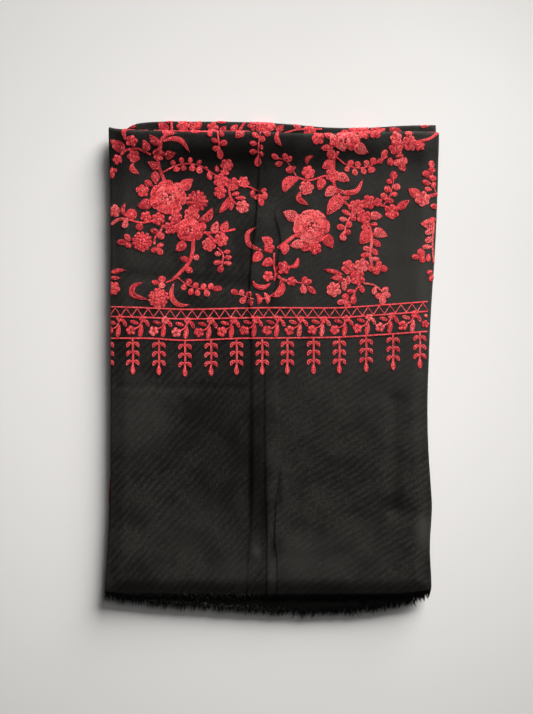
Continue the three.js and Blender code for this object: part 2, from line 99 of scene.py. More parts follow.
# Soft hollows along a line, or rises where the depth is negative. x0, y0, x1, y1, width, depth
TROUGHS = [
    (-176, 238, -120, 215, 14, 1.9), (-120, 215, 95, 214, 15, 2.4), (150, 215, 128, 165, 9, 0.9),
    (128, 165, 135, 110, 12, 0.6), (-150, 96, -26, 86, 8, 1.1), (-166, -20, -25, -22, 4, 0.5),
    (130, -35, 131, -150, 8, 1.2), (131, -150, 165, -158, 9, 0.9), (88, -118, 124, -150, 13, 0.7),
    (30, -192, 75, -186, 9, -0.6), (-16, -197, -15, -200, 5, -0.9),
]


def along(table, column, at):
    """A column of a table at a place between its rows, on a smooth curve through them."""
    key, value = table[:, 0], table[:, column]
    at = np.clip(np.asarray(at, float), key[0], key[-1])
    slope = np.empty(len(key))
    slope[1:-1] = (value[2:] - value[:-2]) / (key[2:] - key[:-2])
    slope[0] = (value[1] - value[0]) / (key[1] - key[0])
    slope[-1] = (value[-1] - value[-2]) / (key[-1] - key[-2])
    i = np.clip(np.searchsorted(key, at, side="left") - 1, 0, len(key) - 2)
    span = key[i + 1] - key[i]
    t = (at - key[i]) / span
    ease = t * t * (3 - 2 * t)
    bend = t * (1 - t) * span * (slope[i] * (1 - t) - slope[i + 1] * t)
    return value[i] + (value[i + 1] - value[i]) * ease + bend


def left_side(y):
    return -HALF + along(SIDES, 1, y)


def right_side(y):
    return HALF - along(SIDES, 2, y)


def base_side(y):
    return -HALF + along(SIDES, 3, y)


def line_of(table, column):
    return lambda x: along(table, column, x)


FRONT_HEM, TWIN_HEM, BASE_HEM, FRONT_FOLD, REAR_FOLD = (line_of(ENDS, column) for column in range(1, 6))


def smooth(x, a, b):
    t = np.clip((x - a) / (b - a), 0, 1)
    return t * t * (3 - 2 * t)


def unit(vectors):
    return vectors / np.maximum(np.linalg.norm(vectors, axis=-1, keepdims=True), 1e-9)


def relief(x, y):
    """How far the upper panel stands above the flat layers."""
    inside = np.minimum(np.minimum(x - left_side(y), right_side(y) - x), y - FRONT_HEM(x))
    loft = LOFT * smooth(inside, 0, LOFT_EDGE)
    for x0, y0, x1, y1, width, depth in TROUGHS:
        dx, dy = x1 - x0, y1 - y0
        t = np.clip(((x - x0) * dx + (y - y0) * dy) / (dx * dx + dy * dy), 0, 1)
        away = np.hypot(x - x0 - t * dx, y - y0 - t * dy)
        loft = loft - depth * np.exp(-((away / width) ** 2))
    for crease in CREASES:
        right = x - along(crease, 1, y)
        step = smooth(right, -along(crease, 3, y), 0) * np.exp(-((np.maximum(right, 0) / FADE) ** 2))
        loft = loft + along(crease, 2, y) * step
    ripple = 0.2 * np.sin(x / 9.3 + 0.8 * np.sin(y / 31)) * np.sin(y / 12.7 + x / 40)
    ripple = ripple + 0.16 * np.sin((x + 1.7 * y) / 17 + 2 * np.sin(x / 53))
    return np.maximum(0, loft + ripple * smooth(inside, 4, 24))


# ---------------------------------------------------------------- cloth surfaces
class Layer:
    """One face of a double layer: flat from its hem to a fold across the cloth, round it and back."""

    def __init__(self, hem, fold, radius, up, fold_top, level, side, depth=0.0, bump=None):
        self.hem, self.fold, self.radius, self.up = hem, fold, radius, up
        self.fold_top, self.level, self.side, self.depth, self.bump = fold_top, level, side, depth, bump

    def centre(self, x):
        return self.fold(x) - self.radius

    def at(self, u, v):
        """The point at u across and v along the cloth: u goes round the side fold, v round the other."""
        u, v = np.broadcast_arrays(np.asarray(u, float), np.asarray(v, float))
        if self.side:
            start = self.side(np.minimum(v, CREST_Y)) + SIDE_RADIUS
            turn = np.clip((start - u) / SIDE_RADIUS, 0, math.pi)
            under = np.maximum(start - u - math.pi * SIDE_RADIUS, 0)
            x = np.where(u >= start, u, start - SIDE_RADIUS * np.sin(turn) + under)
            out = -SIDE_RADIUS * (1 - np.cos(turn)) - self.depth
            lies = np.maximum(np.cos(turn), 0)
        else:
            x, out, lies = u, np.full(u.shape, -self.depth), 1.0
        over = v - self.centre(x)
        angle = np.clip(over / self.radius, 0, math.pi)
        back = np.maximum(over - math.pi * self.radius, 0)
        y = np.where(over <= 0, v, self.centre(x) + self.radius * np.sin(angle) - back)
        z = np.where(over <= 0, self.level(v), self.fold_top - self.up * self.radius * (1 - np.cos(angle)))
        if self.bump:
            out = out + lies * self.bump(x, y) * np.maximum(np.cos(angle), 0)
        return np.stack([x, y + np.sin(angle) * out, z + self.up * np.cos(angle) * out], -1)

    def lifted(self, u, v, lift):
        """A point moved out of the cloth by lift."""
        e = 0.12
        du = self.at(u + e, v) - self.at(u - e, v)
        dv = self.at(u, v + e) - self.at(u, v - e)
        return self.at(u, v) + unit(np.cross(du, dv) * self.up) * np.asarray(lift, float)[..., None]


def front_level(y):
    return FLAT_TOP + ROLL_RISE * smooth(y, 214, 240)


def twin_level(y):
    return front_level(y) - TWIN_DROOP * smooth(-y, 234, 262)


ROLL_TOP = FLAT_TOP + ROLL_RISE
FRONT = Layer(FRONT_HEM, FRONT_FOLD, FRONT_RADIUS, 1, ROLL_TOP, front_level, left_side, bump=relief)
TWIN = Layer(TWIN_HEM, FRONT_FOLD, FRONT_RADIUS, 1, ROLL_TOP, twin_level, None, depth=CLOTH + AIR)
BASE = Layer(BASE_HEM, REAR_FOLD, REAR_RADIUS, -1, 0.0, lambda y: 0 * y, base_side)


def mesh_object(name, points, faces, materials, index=None):
    """A mesh from points in millimetres. faces is one array of triangles or of quads."""
    points, faces = np.asarray(points, float).reshape(-1, 3) * MM, np.asarray(faces, np.int32)
    size = faces.shape[1]
    mesh = bpy.data.meshes.new(name)
    mesh.vertices.add(len(points))
    mesh.vertices.foreach_set("co", points.ravel())
    mesh.loops.add(faces.size)
    mesh.loops.foreach_set("vertex_index", faces.ravel())
    mesh.polygons.add(len(faces))
    mesh.polygons.foreach_set("loop_start", np.arange(0, faces.size, size, dtype=np.int32))
    mesh.polygons.foreach_set("use_smooth", np.full(len(faces), True))
    for material in materials:
        mesh.materials.append(material)
    if index is not None:
        mesh.polygons.foreach_set("material_index", np.asarray(index, np.int32))
    mesh.update(calc_edges=True)
    mesh.validate()
    piece = bpy.data.objects.new(name, mesh)
    bpy.context.scene.collection.objects.link(piece)
    return piece


def shell_faces(rows, columns):
    """Quads of a closed shell: the outer grid, the inner grid after it, and the rim between them."""
    k = np.arange(rows * columns).reshape(rows, columns)
    outer = np.stack([k[:-1, :-1], k[:-1, 1:], k[1:, 1:], k[1:, :-1]], -1).reshape(-1, 4)
    inner = outer[:, ::-1] + rows * columns
    rim = np.concatenate([k[0, :], k[1:, -1], k[-1, -2::-1], k[-2:0:-1, 0]])
    following = np.roll(rim, -1)
    wall = np.stack([rim + rows * columns, following + rows * columns, following, rim], -1)
    return np.concatenate([outer, inner, wall])


def cloth_shell(name, layer, across, stations, material):
    """A sheet of cloth on a layer. across(y) gives each row's u values, and stations are shares of the flat
    stretch, from 1 to 2 round the fold, and past 2 back from it."""
    t = np.asarray(stations)[:, None]
    rough = HEM_Y + (CREST_Y - HEM_Y) * np.clip(t, 0, 1)
    u = across(rough)
    side_x = np.clip(u, left_side(rough), right_side(rough))
    hem, centre = layer.hem(side_x), layer.centre(side_x)
    v = hem + (centre - hem) * np.clip(t, 0, 1)
    v = v + math.pi * layer.radius * np.clip(t - 1, 0, 1) + FOLD_ARM * np.clip(t - 2, 0, 1)
    outer, inner = layer.lifted(u, v, 0), layer.lifted(u, v, -THIN)
    faces = shell_faces(*u.shape)
    if layer.up < 0:
        faces = faces[:, ::-1]
    return mesh_object(name, np.stack([outer, inner]), faces, [material])


# ---------------------------------------------------------------- embroidery
def turned_left(vectors):
    """Vectors in the cloth's plane, turned by a right angle."""
    return np.stack([-vectors[:, 1], vectors[:, 0]], 1)


class Needlework:
    """Collects blades of stitches, drawn flat in the cloth's own plane, and lays them on a surface."""

    ROW, STITCH = 1.16, 2.1  # between two rows of chain stitch, and along one
    INSET = 0.62  # from a shape's edge to its first row
    CROWN = 0.16  # how far the middle of a broad shape stands above its edge

    def __init__(self):
        self.points, self.quads, self.links, self.tones = [], [], [], []
        self.count = 0

    def row(self, path, tone, closed=False):
        """A row of chain stitches along a path of x, y and lift."""
        path = np.asarray(path, float)
        if closed:
            path = np.concatenate([path, path[:1]])
        steps = np.hypot(*np.diff(path[:, :2], axis=0).T)
        run = np.concatenate([[0], np.cumsum(steps)])
        if run[-1] < 0.9:  # too short for a stitch
            return
        n = max(1 + closed, round(run[-1] / self.STITCH))
        at = np.linspace(0, run[-1], n + 1)
        p = np.stack([np.interp(at, run, path[:, k]) for k in range(3)], -1)
        self.links.append(np.concatenate([p[:-1], p[1:]], 1))
        self.tones.append(np.where(rng.random(n) < 0.6, tone, rng.integers(0, 4, n)))

    def blade(self, axis, half, lift=0.0, tone=0, rows=True):
        """A filled shape about an axis: its ground and the rows of stitches that follow its outline."""
        axis, half = np.asarray(axis, float), np.asarray(half, float)
        across = turned_left(unit(np.gradient(axis, axis=0)))
        crown = min(self.CROWN, 0.15 * half.max())
        offset = np.array([-1, -0.6, 0, 0.6, 1])
        rise = lift + SILL * np.array([0.1, 1, 1.15, 1, 0.1]) + crown * np.array([0, 0.6, 1, 0.6, 0])
        grid = axis[:, None] + across[:, None] * (half[:, None] * offset)[..., None]
        grid = np.concatenate([grid, np.broadcast_to(rise[:, None], grid.shape[:1] + (5, 1))], -1)
        k = self.count + np.arange(len(axis) * 5).reshape(-1, 5)
        self.points.append(grid.reshape(-1, 3))
        self.quads.append(np.stack([k[:-1, :-1], k[1:, :-1], k[1:, 1:], k[:-1, 1:]], -1).reshape(-1, 4))
        self.count += grid.shape[0] * 5
        if not rows:
            return
        top = lift + SILL + crown
        inset, last = self.INSET, half.max()
        while inset < last - 0.15:
            inside = np.flatnonzero(half > inset + 0.08)
            if len(inside) > 1:
                away = (half[inside] - inset)[:, None]
                high = top - (crown + 0.12) * (away / last) ** 2
                one = np.concatenate([axis[inside] + away * across[inside], high], 1)
                two = np.concatenate([axis[inside] - away * across[inside], high], 1)
                self.row(np.concatenate([one, two[::-1]]), tone, closed=True)
            inset += self.ROW
        if last - (inset - self.ROW) > self.INSET or last <= 0.65:
            inside = np.flatnonzero(half > 0.45 * last)
            self.row(np.column_stack([axis[inside], np.full(len(inside), top)]), tone)

    def lay(self, name, place, materials):
        """Makes the piece, with every point put on the cloth by place(x, y, lift)."""
        ground = np.concatenate(self.points)
        quads = np.concatenate(self.quads)
        links, tones = np.concatenate(self.links), np.concatenate(self.tones)
        start, stop = links[:, :3], links[:, 3:]
        run = stop[:, :2] - start[:, :2]
        side = unit(turned_left(run))
        # One side of a stitch: its start, the four corners of its middle, and its end.
        # Share of the stitch, how far aside, height
        spindle = [
            (-0.1, 0.04, 0.06),
            (0.46, 0.53, 0.04), (0.46, 0.29, 0.28), (0.46, 0.05, 0.04), (0.46, 0.29, -0.2),
            (1.14, 0.05, 0.17),
        ]
        corners = []
        for sign in (1, -1):
            for t, s, z in spindle:
                flat = start[:, :2] + run * t + side * (sign * s)
                high = start[:, 2] + (stop[:, 2] - start[:, 2]) * t + z
                corners.append(np.column_stack([flat, high]))
        corners = np.stack(corners, 1)
        one = [(0, 1 + k, 1 + (k + 1) % 4) for k in range(4)]
        one += [(5, 1 + (k + 1) % 4, 1 + k) for k in range(4)]
        pattern = np.array([[c + 6 * s for c in (f if s else f[::-1])] for s in (0, 1) for f in one])
        faces = (pattern[None] + 12 * np.arange(len(links))[:, None, None]).reshape(-1, 3) + len(ground)
        triangles = np.concatenate([quads[:, [0, 1, 2]], quads[:, [0, 2, 3]]])[:, ::-1]
        flat = np.concatenate([ground, corners.reshape(-1, 3)])
        index = np.concatenate([np.full(len(triangles), len(materials) - 1), np.repeat(tones, len(pattern))])
        where = place(*flat.T)
        return mesh_object(name, where, np.concatenate([triangles, faces]), materials, index)


def chance(x, y, n=0):
    """A repeatable number from 0 to 1 for a place."""
    return abs(math.sin(x * 12.9898 + y * 78.233 + n * 37.719) * 43758.5453) % 1


def tone_at(x, y):
    """A yarn for a motif, lighter on the right, and darker towards the folds and the upper left, where the
    darker yarns are painted shade.
    """
    # painted shade: darker yarns towards the folds and in the trough at the upper left
    shift = 0.9 * (x > 20) - 0.8 * (y > 205) - 0.6 * (y > 251) - 0.6 * (x < -100 and y > 215)
    return int(np.clip(3.4 * chance(round(x), round(y), 1) + shift, 0, 3))


def leaf_half(t, width):
    return 0.54 * width * np.sin(math.pi * t**0.72) ** np.where(t < 0.38, 0.6, 1.1)


def swell(t, widest, power):
    """Rises to 1 at the widest place and falls to 0 at the tip."""
    tip = np.clip(1 - ((t - widest) / (1 - widest)) ** 2, 0, 1) ** power
    return np.where(t < widest, np.sin(0.5 * math.pi * t / widest), tip)


def drop_half(t, width):
    return 0.5 * width * np.maximum(swell(t, 0.55, 0.66), 0.2 * (t < 0.5))


def round_half(t, width):
    return 0.5 * width * swell(t, 0.62, 0.5)


def petal(work, shape, x0, y0, x1, y1, width, lift=0.0, tone=None, bend=0.0):
    """A filled shape from its base to its tip. shape(t, width) is its half width along it."""
    t = np.linspace(0, 1, 11)
    base, run = np.array([x0, y0]), np.array([x1 - x0, y1 - y0])
    axis = base + t[:, None] * run + (4 * bend * t * (1 - t))[:, None] * np.array([-run[1], run[0]])
    work.blade(axis, shape(t, width), lift, tone_at(x1, y1) if tone is None else tone)


def leaf(work, x0, y0, x1, y1, width):
    width = min(1.06 * width, 0.66 * math.hypot(x1 - x0, y1 - y0))
    petal(work, leaf_half, x0, y0, x1, y1, width, bend=0.16 * (chance(x0, y1) - 0.5))


def drop(work, x0, y0, x1, y1, width, lift=0.0, tone=None):
    x1, y1 = x1 + 0.1 * (x1 - x0), y1 + 0.1 * (y1 - y0)
    petal(work, drop_half, x0, y0, x1, y1, 1.16 * width, lift, tone)


def curve(points, n):
    """A smooth path through some points."""
    points = np.asarray(points, float).reshape(-1, 2)
    run = np.concatenate([[0], np.cumsum(np.hypot(*np.diff(points, axis=0).T))])
    table = np.column_stack([run, points])
    at = np.linspace(0, run[-1], n)
    return np.column_stack([along(table, 1, at), along(table, 2, at)])


def horn(work, width, *points, tone=None):
    axis = curve(points, 17)
    t = np.linspace(0, 1, 17)
    half = 0.52 * width * np.maximum(np.sin(math.pi * (0.03 + 0.94 * t)), 0.1)
    work.blade(axis, half, 0.0, tone_at(*axis[8]) if tone is None else tone)


def stem(work, width, *points, tone=None):
    length = np.hypot(*np.diff(np.reshape(points, (-1, 2)), axis=0).T).sum()
    axis = curve(points, max(5, round(length / 2.6)))
    work.blade(axis, np.full(len(axis), 0.58 * width), -0.1, tone_at(*axis[0]) if tone is None else tone)


def disc(work, x, y, rx, ry, lift):
    t = np.linspace(0, 1, 9)
    axis = np.column_stack([x + rx * (2 * t - 1), np.full(9, y)])
    work.blade(axis, ry * np.sqrt(np.clip(1 - (2 * t - 1) ** 2, 0.02, 1)), lift, rows=False)


def petal_tone(x, y, n, shift):
    """A yarn for one petal of a flower, from the three lighter ones unless shift moves it."""
    return min(max(1 + int(3 * chance(x, y, n)) + shift, 0), 3)


def ring(work, shape, x, y, rx, ry, n, inner, outer, width, lift, tone=None, turn=0.0, shift=0):
    """n petals that point outwards, between two shares of a radius."""
    for k in range(n):
        a = turn + 2 * math.pi * (k + 0.25 * (chance(x, y, k) - 0.5)) / n
        c, s = math.cos(a), math.sin(a)
        reach = outer * (1 - 0.1 * chance(x, y, k + 40))
        pick = tone if tone is not None else petal_tone(x, y, k + 9, shift)
        petal(work, shape, x + inner * rx * c, y + inner * ry * s, x + reach * rx * c, y + reach * ry * s,
              width * math.hypot(rx * s, ry * c), lift, pick)


def swirl(work, x, y, rx, ry, n, radius, width, lift, turn, shift):
    """n curved petals that lie round the heart of a rose, each a little different."""
    for k in range(n):
        a = turn + 2 * math.pi * (k + 0.3 * (chance(x, y, k + 20) - 0.5)) / n
        a = a + np.linspace(-0.55, 0.55, 13) * 2 * math.pi / n
        away = radius * (1 + 0.16 * (chance(x, y, k + 60) - 0.5))
        wave = away * (1 + 0.1 * np.cos(np.linspace(-3.1, 3.1, 13)))
        axis = np.column_stack([x + wave * rx * np.cos(a), y + wave * ry * np.sin(a)])
        t = np.linspace(0, 1, 13)
        half = 0.5 * width * min(rx, ry) * np.sqrt(np.clip(1 - (2 * t - 1) ** 2, 0.04, 1)) ** 0.8
        work.blade(axis, half, lift + 0.08 * (k % 2), petal_tone(x, y, k + 80, shift))


def blossom(work, x, y, r):
    tone = tone_at(x, y)
    turn = 2 * math.pi * chance(x, y, 3)
    n = 5 if r < 6.6 else 6
    disc(work, x, y, 0.5 * r, 0.5 * r, -0.1)
    ring(work, round_half, x, y, r, r, n, 0.12, 1.12, 1.0 if n == 5 else 0.84, 0.0, tone, turn)
    loop = turn + np.linspace(0, 2 * math.pi, 9)[:-1]
    eye = [x + 0.17 * r * np.cos(loop), y + 0.17 * r * np.sin(loop), np.full(8, SILL + 0.42)]
    work.row(np.column_stack(eye), (tone + 2) % 4, closed=True)


def star(work, x, y, r):
    ring(work, leaf_half, x, y, r, r, 5, 0.0, 1.05, 0.8, 0.0, None, chance(x, y, 3))
    disc(work, x, y, 0.3 * r, 0.3 * r, 0.1)


def mum(work, x, y, r, shift=0):
    tone = tone_at(x, y) + shift
    disc(work, x, y, 0.72 * r, 0.72 * r, 0.0)
    rounds = ((13, 0.46, 1.1, 0.4, 0.0), (9, 0.2, 0.76, 0.42, 0.2), (5, 0.0, 0.42, 0.36, 0.4))
    for n, inner, outer, width, lift in rounds:
        ring(work, round_half, x, y, r, r, n, inner, outer, width, lift, tone, lift * 3)


def rose(work, x, y, rx, ry, shift=0):
    turn = 2 * math.pi * chance(x, y, 4)
    disc(work, x, y, 0.8 * rx, 0.8 * ry, -0.1)
    ring(work, round_half, x, y, rx, ry, 7, 0.36, 1.1, 0.84, 0.0, None, turn, shift)
    ring(work, round_half, x, y, rx, ry, 5, 0.2, 0.78, 0.78, 0.15, None, turn + 0.5, shift)
    swirl(work, x, y, rx, ry, 4, 0.35, 0.36, 0.3, turn + 0.5, shift)
    ring(work, round_half, x, y, 0.3 * rx, 0.3 * ry, 3, 0.0, 1.0, 0.9, 0.35, 3, turn)


MOTIFS = {draw.__name__: draw for draw in (stem, horn, leaf, drop, star, rose, mum, blossom)}


PARTING = -12  # the x between the flowers of the left half and the right half


def embroider(chart, wanted=lambda x, y: True):
    """The needlework of a chart, as far as its motifs start where wanted(x, y) says."""
    work = Needlework()
    for kind, draw in MOTIFS.items():
        for row in chart.get(kind, ()):
            x, y = row[1:3] if kind in ("stem", "horn") else row[:2]
            if wanted(x, y):
                draw(work, *row)
    return work


# The border along the hem. x, first line, third line
BORDER = np.array([
    (-178, 64.3, 30.7), (-128, 62.8, 30.7), (-91, 61.3, 28.6), (-33, 62.4, 30.7), (0, 63, 31),
    (40, 62.8, 31.4), (73, 62.9, 32), (120, 66, 34.8), (176, 70.4, 38.8),
], float)
BAND = 10.2  # from the first line to the second
ZIGZAG = 5.8  # from one point of the zigzag to the next
REPEAT = 23.9  # from one blossom of the middle band to the next
SPRIGS = (-173.0, -145.9, -118.4, -90.9, -63.4, -36.4, -9.4, 17.1, 44.8, 72.0, 100.3, 128.8, 157.1)


def border():
    """Three lines, a zigzag, a band of blossoms and leaves, and a row of hanging sprigs."""
    work = Needlework()
    first, third = line_of(BORDER, 1), line_of(BORDER, 2)
    second = lambda x: first(x) - BAND
    at = np.linspace(-172.5, 165.8, 60)
    for line in (first, second, third):
        work.blade(np.column_stack([at, line(at)]), np.full(60, 0.95), 0.0, 2)
    high, low = (lambda x: first(x) - 0.9), (lambda x: second(x) + 0.9)
    x = -170.4
    while x < 163:
        for a, b, start, stop in ((0, ZIGZAG, low, high), (ZIGZAG, 2 * ZIGZAG, high, low)):
            if x + b < 166:
                work.row([(x + a, start(x + a), 0.2), (x + b, stop(x + b), 0.2)], 2)
        x += 2 * ZIGZAG
    for k in range(-1, 14):
        x = -147.8 + REPEAT * k
        y = third(x) + 8.0
        top = second(x + 12) - 1.2
        blossom(work, x, y, 5.0 if x < 150 else 4.0)
        drop(work, min(x + 9.4, 165), y + 7.0, x - 0.4, y + 10.0, 3.7)
        if x + 19 < 165:  # room for the leaves and the upper blossom
            stem(work, 1.5, x + 3, y + 1.8, x + 8.4, y + 4.2, x + 13, top)
            drop(work, x + 11.8, y + 7.4, x + 9.4, y - 6.4, 4.6)
            drop(work, x + 15, top, x + 18.6, y + 4.6, 3.7)
            blossom(work, x + 12.2, top - 0.6, 4.0)
    for x in SPRIGS:
        y = third(x)
        stem(work, 2.0, x, y, x + 0.3, y - 15, x, y - 31, tone=2)
        drop(work, x, y - 27.5, x, y - 38.0, 4.4, tone=2)
        for down in (4.8, 14.2, 23.8):
            base = y - down
            for way in (-1, 1):
                horn(work, 4.0, x, base, x + 4.4 * way, base - 0.9, x + 6.6 * way, base - 5.6, tone=2)
    return work


# ---------------------------------------------------------------- frayed ends
def on_twin(x, y):
    """The height of the twin layer under the front fringe and, past its hem, of its own fringe."""
    hem = TWIN_HEM(x)
    return np.where(y > hem, twin_level(y) - CLOTH - AIR, twin_level(hem) - 2 - 0.5 * (hem - y))


def off_twin(x, y):
    """The height that the twin layer's fringe sinks to past its hem, down to the floor."""
    hem = TWIN_HEM(x)
    return np.maximum(twin_level(hem) - CLOTH - AIR - 0.5 * (hem - y), 0)


def frayed(name, layer, first, last, n, length, rest, material):
    """Loose yarn ends along a hem, in tufts that draw to a point. rest(x, y) is the height they sink to."""
    tufts = rng.uniform(first, last, n // 9)  # about nine yarns in each
    pick = rng.integers(0, len(tufts), n)
    aside = rng.normal(0, 0.8, n)
    x = np.clip(tufts[pick] + aside, first, last)
    back = np.clip(rng.normal(0.3, 1.2, n), 0, 3.5)
    sunk = np.where(back > 0.5, 0.1, rng.uniform(-THIN, 0, n))
    root = layer.lifted(x, layer.hem(x) + back, sunk)
    tall = np.clip(rng.gamma(9, 0.075, len(tufts)), 0.25, 1.25)[pick]
    long = back + length * tall * np.clip(rng.normal(0.9, 0.14, n), 0.3, 1.1)
    loose = rng.random(n) < 0.12
    lean = np.where(loose, rng.normal(0, 0.45, n), rng.normal(0, 0.2, len(tufts))[pick])
    gather = np.where(loose, 0, -0.85 * aside)
    curl = rng.normal(0, 0.25, n)
    stations = np.array([0, 0.25, 0.5, 0.75, 1.0])
    radius = 0.14 * np.array([1.0, 1.0, 0.9, 0.7, 0.25])
    rings = []
    for t, r in zip(stations, radius):
        px = root[:, 0] + gather * t + long * t * lean + curl * math.sin(math.pi * t)
        py = root[:, 1] - long * t
        floor = np.minimum(rest(px, py) + 0.25, root[:, 2])
        fall = np.clip(t * 1.5, 0, 1) ** 1.4
        pz = root[:, 2] + (floor - root[:, 2]) * fall + 0.4 * np.abs(curl) * math.sin(math.pi * t)
        pz = np.maximum(np.where(py > layer.hem(px) - 0.3, root[:, 2], pz), radius[0])
        for k in range(3):
            a = 2 * math.pi * k / 3 + 0.6
            rings.append(np.stack([px + r * math.cos(a), py, pz + r * math.sin(a)], -1))
    points = np.stack(rings, 1)
    one = [(j + k, j + (k + 1) % 3, j + 3 + (k + 1) % 3, j + 3 + k) for j in (0, 3, 6, 9) for k in range(3)]
    faces = (np.array(one)[None] + 15 * np.arange(n)[:, None, None]).reshape(-1, 4)
    return mesh_object(name, points, faces, [material])


# ---------------------------------------------------------------- materials
# Painted highlights where the window's light catches the nap, and painted shade where the nap lies in a
# trough or a crease. x, y, half width, half height, share
PAINTED_HIGHLIGHTS = [
    (175, 100, 260, 250, 0.75), (70, -200, 90, 50, 0.4), (-145, 140, 70, 130, 0.35), (29, -206, 30, 34, 0.5),
    (-16, -194, 9, 28, 0.75), (1, -207, 9, 62, 0.5), (163, -172, 17, 36, 0.8), (-88, -182, 80, 60, 0.3),
    (-138, -55, 50, 60, 0.45), (-42, -212, 34, 30, 0.45), (158, 92, 50, 75, 0.45),
]
# painted shade in the trough under the front fold, on the cloth and on its embroidery
PAINTED_FOLD_SHADE = (-60, 217, 230, 44, 0.85)
# painted shade in the troughs and along the creases of the cloth
PAINTED_SHADES = [
    PAINTED_FOLD_SHADE, (-13, -112, 17, 110, 0.75), (-45, -70, 90, 200, 0.42), (-185, 235, 60, 60, 0.6),
    (-20, -112, 5, 80, 0.7), (-8, -150, 6, 60, 0.6), (9.6, -129, 5, 34, 0.6), (2.5, -190, 6, 22, 0.6),
]


def nodes_of(name):
    """A new material with its shader and the place on the object."""
    material = bpy.data.materials.new(name)
    material.use_nodes = True
    nodes = material.node_tree.nodes
    return material, nodes["Principled BSDF"], nodes.new("ShaderNodeTexCoord").outputs["Object"]


def feed(node, inputs):
    """Links or sets some of a node's inputs."""
    for key, value in inputs.items():
        if isinstance(value, bpy.types.NodeSocket):
            node.id_data.links.new(value, node.inputs[key])
        else:
            node.inputs[key].default_value = value


def add(kind, inputs, **settings):
    """The outputs of a new node, in the tree that its first linked input comes from."""
    tree = next(value.id_data for value in inputs.values() if isinstance(value, bpy.types.NodeSocket))
    node = tree.nodes.new("ShaderNode" + kind)
    for key, value in settings.items():
        setattr(node, key, value)
    feed(node, inputs)
    return node.outputs


def noise(at, scale, detail=2.0):
    return add("TexNoise", {"Vector": at, "Scale": scale, "Detail": detail})["Fac"]


def wave(at, scale, distortion, fine):
    inputs = {"Vector": at, "Scale": scale, "Distortion": distortion, "Detail": 2.0, "Detail Scale": fine}
    return add("TexWave", inputs, bands_direction="Y")["Fac"]


def leant(at, degrees):
    return add("Mapping", {"Vector": at, "Rotation": (0, 0, math.radians(degrees))})["Vector"]


def raised(height, strength, distance):
    return add("Bump", {"Height": height, "Strength": strength, "Distance": distance})["Normal"]


def mixed(factor, a, b):
    return add("Mix", {0: factor, 6: a, 7: b}, data_type="RGBA")[2]


def ramp(value, low, high):
    return add("MapRange", {"Value": value, "From Min": low, "From Max": high})["Result"]


def patch(place, x, y, across, along_y, share):
    """A share at a place in millimetres that fades to 0 over an oval round it."""
    oval = add("Mapping", {
        "Vector": place,
        "Location": (-x / across, -y / along_y, 0),
        "Scale": (1 / (across * MM), 1 / (along_y * MM), 0),
    })["Vector"]
    cone = add("TexGradient", {"Vector": oval}, gradient_type="SPHERICAL")["Fac"]
    return add("MapRange", {"Value": cone, "To Max": share}, interpolation_type="SMOOTHSTEP")["Result"]


def cloth_material():
    """Fulled black twill: fine diagonal ribs, broad bands where its layers' ribs cross, and a wool nap, with
    painted highlights where the window's light catches the nap and painted shade in the troughs, the creases
    and towards the hem.
    """
    material, shader, place = nodes_of("black_twill")
    dark, middle, light = (0.008, 0.0074, 0.0066, 1), (0.0195, 0.0181, 0.016, 1), (0.0315, 0.0293, 0.0258, 1)
    diagonal = leant(place, -48)
    ribs = wave(diagonal, 300.0, 1.5, 1.5)
    steep, flat = (wave(way, 50.0, 5.0, 0.5) for way in (diagonal, leant(place, -33)))
    nap, cloud, worn = noise(place, 520.0, 4.0), noise(place, 38.0, 3.0), noise(diagonal, 75.0)
    x, y = add("SeparateXYZ", {"Vector": place})[:2]
    tone = mixed(mixed(ramp(x, -0.03, 0.06), steep, flat), dark, light)
    tone = mixed(ramp(worn, 0.42, 0.8), tone, middle)
    tone = mixed(ramp(y, 0.0, 0.35), tone, middle)
    tone = mixed(ramp(cloud, 0.42, 0.8), tone, light)
    tone = mixed(ramp(cloud, 0.52, 0.2), tone, dark)
    tone = mixed(ramp(nap, 0.2, 0.72), dark, tone)
    for painted_highlight in PAINTED_HIGHLIGHTS:
        # painted highlight: a lighter tone where the window's light catches the nap
        tone = mixed(patch(place, *painted_highlight), tone, (0.036, 0.0345, 0.0315, 1))
    for painted_shade in PAINTED_SHADES:
        # painted shade: a near black tone in the troughs and creases
        tone = mixed(patch(place, *painted_shade), tone, (0.0015, 0.0014, 0.0013, 1))
    # painted shade: the cloth darker towards the hem, where it droops away from the light
    tone = mixed(ramp(y, -0.243, -0.222), (0.0035, 0.0033, 0.003, 1), tone)  # darker towards the hem
    gloss = add("Math", {0: cloud, 1: nap}, operation="MULTIPLY")[0]
    gloss = add("MapRange", {"Value": gloss, "From Max": 0.5, "To Min": 0.02, "To Max": 0.08})["Result"]
    feed(shader, {
        "Base Color": tone, "Roughness": 0.85, "Specular IOR Level": gloss,
        "Sheen Weight": 0.03, "Sheen Roughness": 0.45, "Sheen Tint": (0.9, 0.86, 0.8, 1),
        "Normal": raised(add("Math", {0: ribs, 1: nap}, operation="ADD")[0], 0.8, 0.0003),
    })
    return material


def yarn_material():
    """Loose ends of black wool, with some grey tufts at the left."""
    material, shader, place = nodes_of("black_yarn")
    tufts = ramp(noise(place, 520.0), 0.5, 0.7)
    left = patch(place, -60, -250, 130, 60, 1.0)
    grey = add("Math", {0: left, 1: tufts}, operation="MULTIPLY")[0]
    tone = mixed(grey, (0.0016, 0.0015, 0.0015, 1), (0.09, 0.084, 0.075, 1))
    feed(shader, {"Base Color": tone, "Roughness": 0.7, "Specular IOR Level": 0.1})
    return material


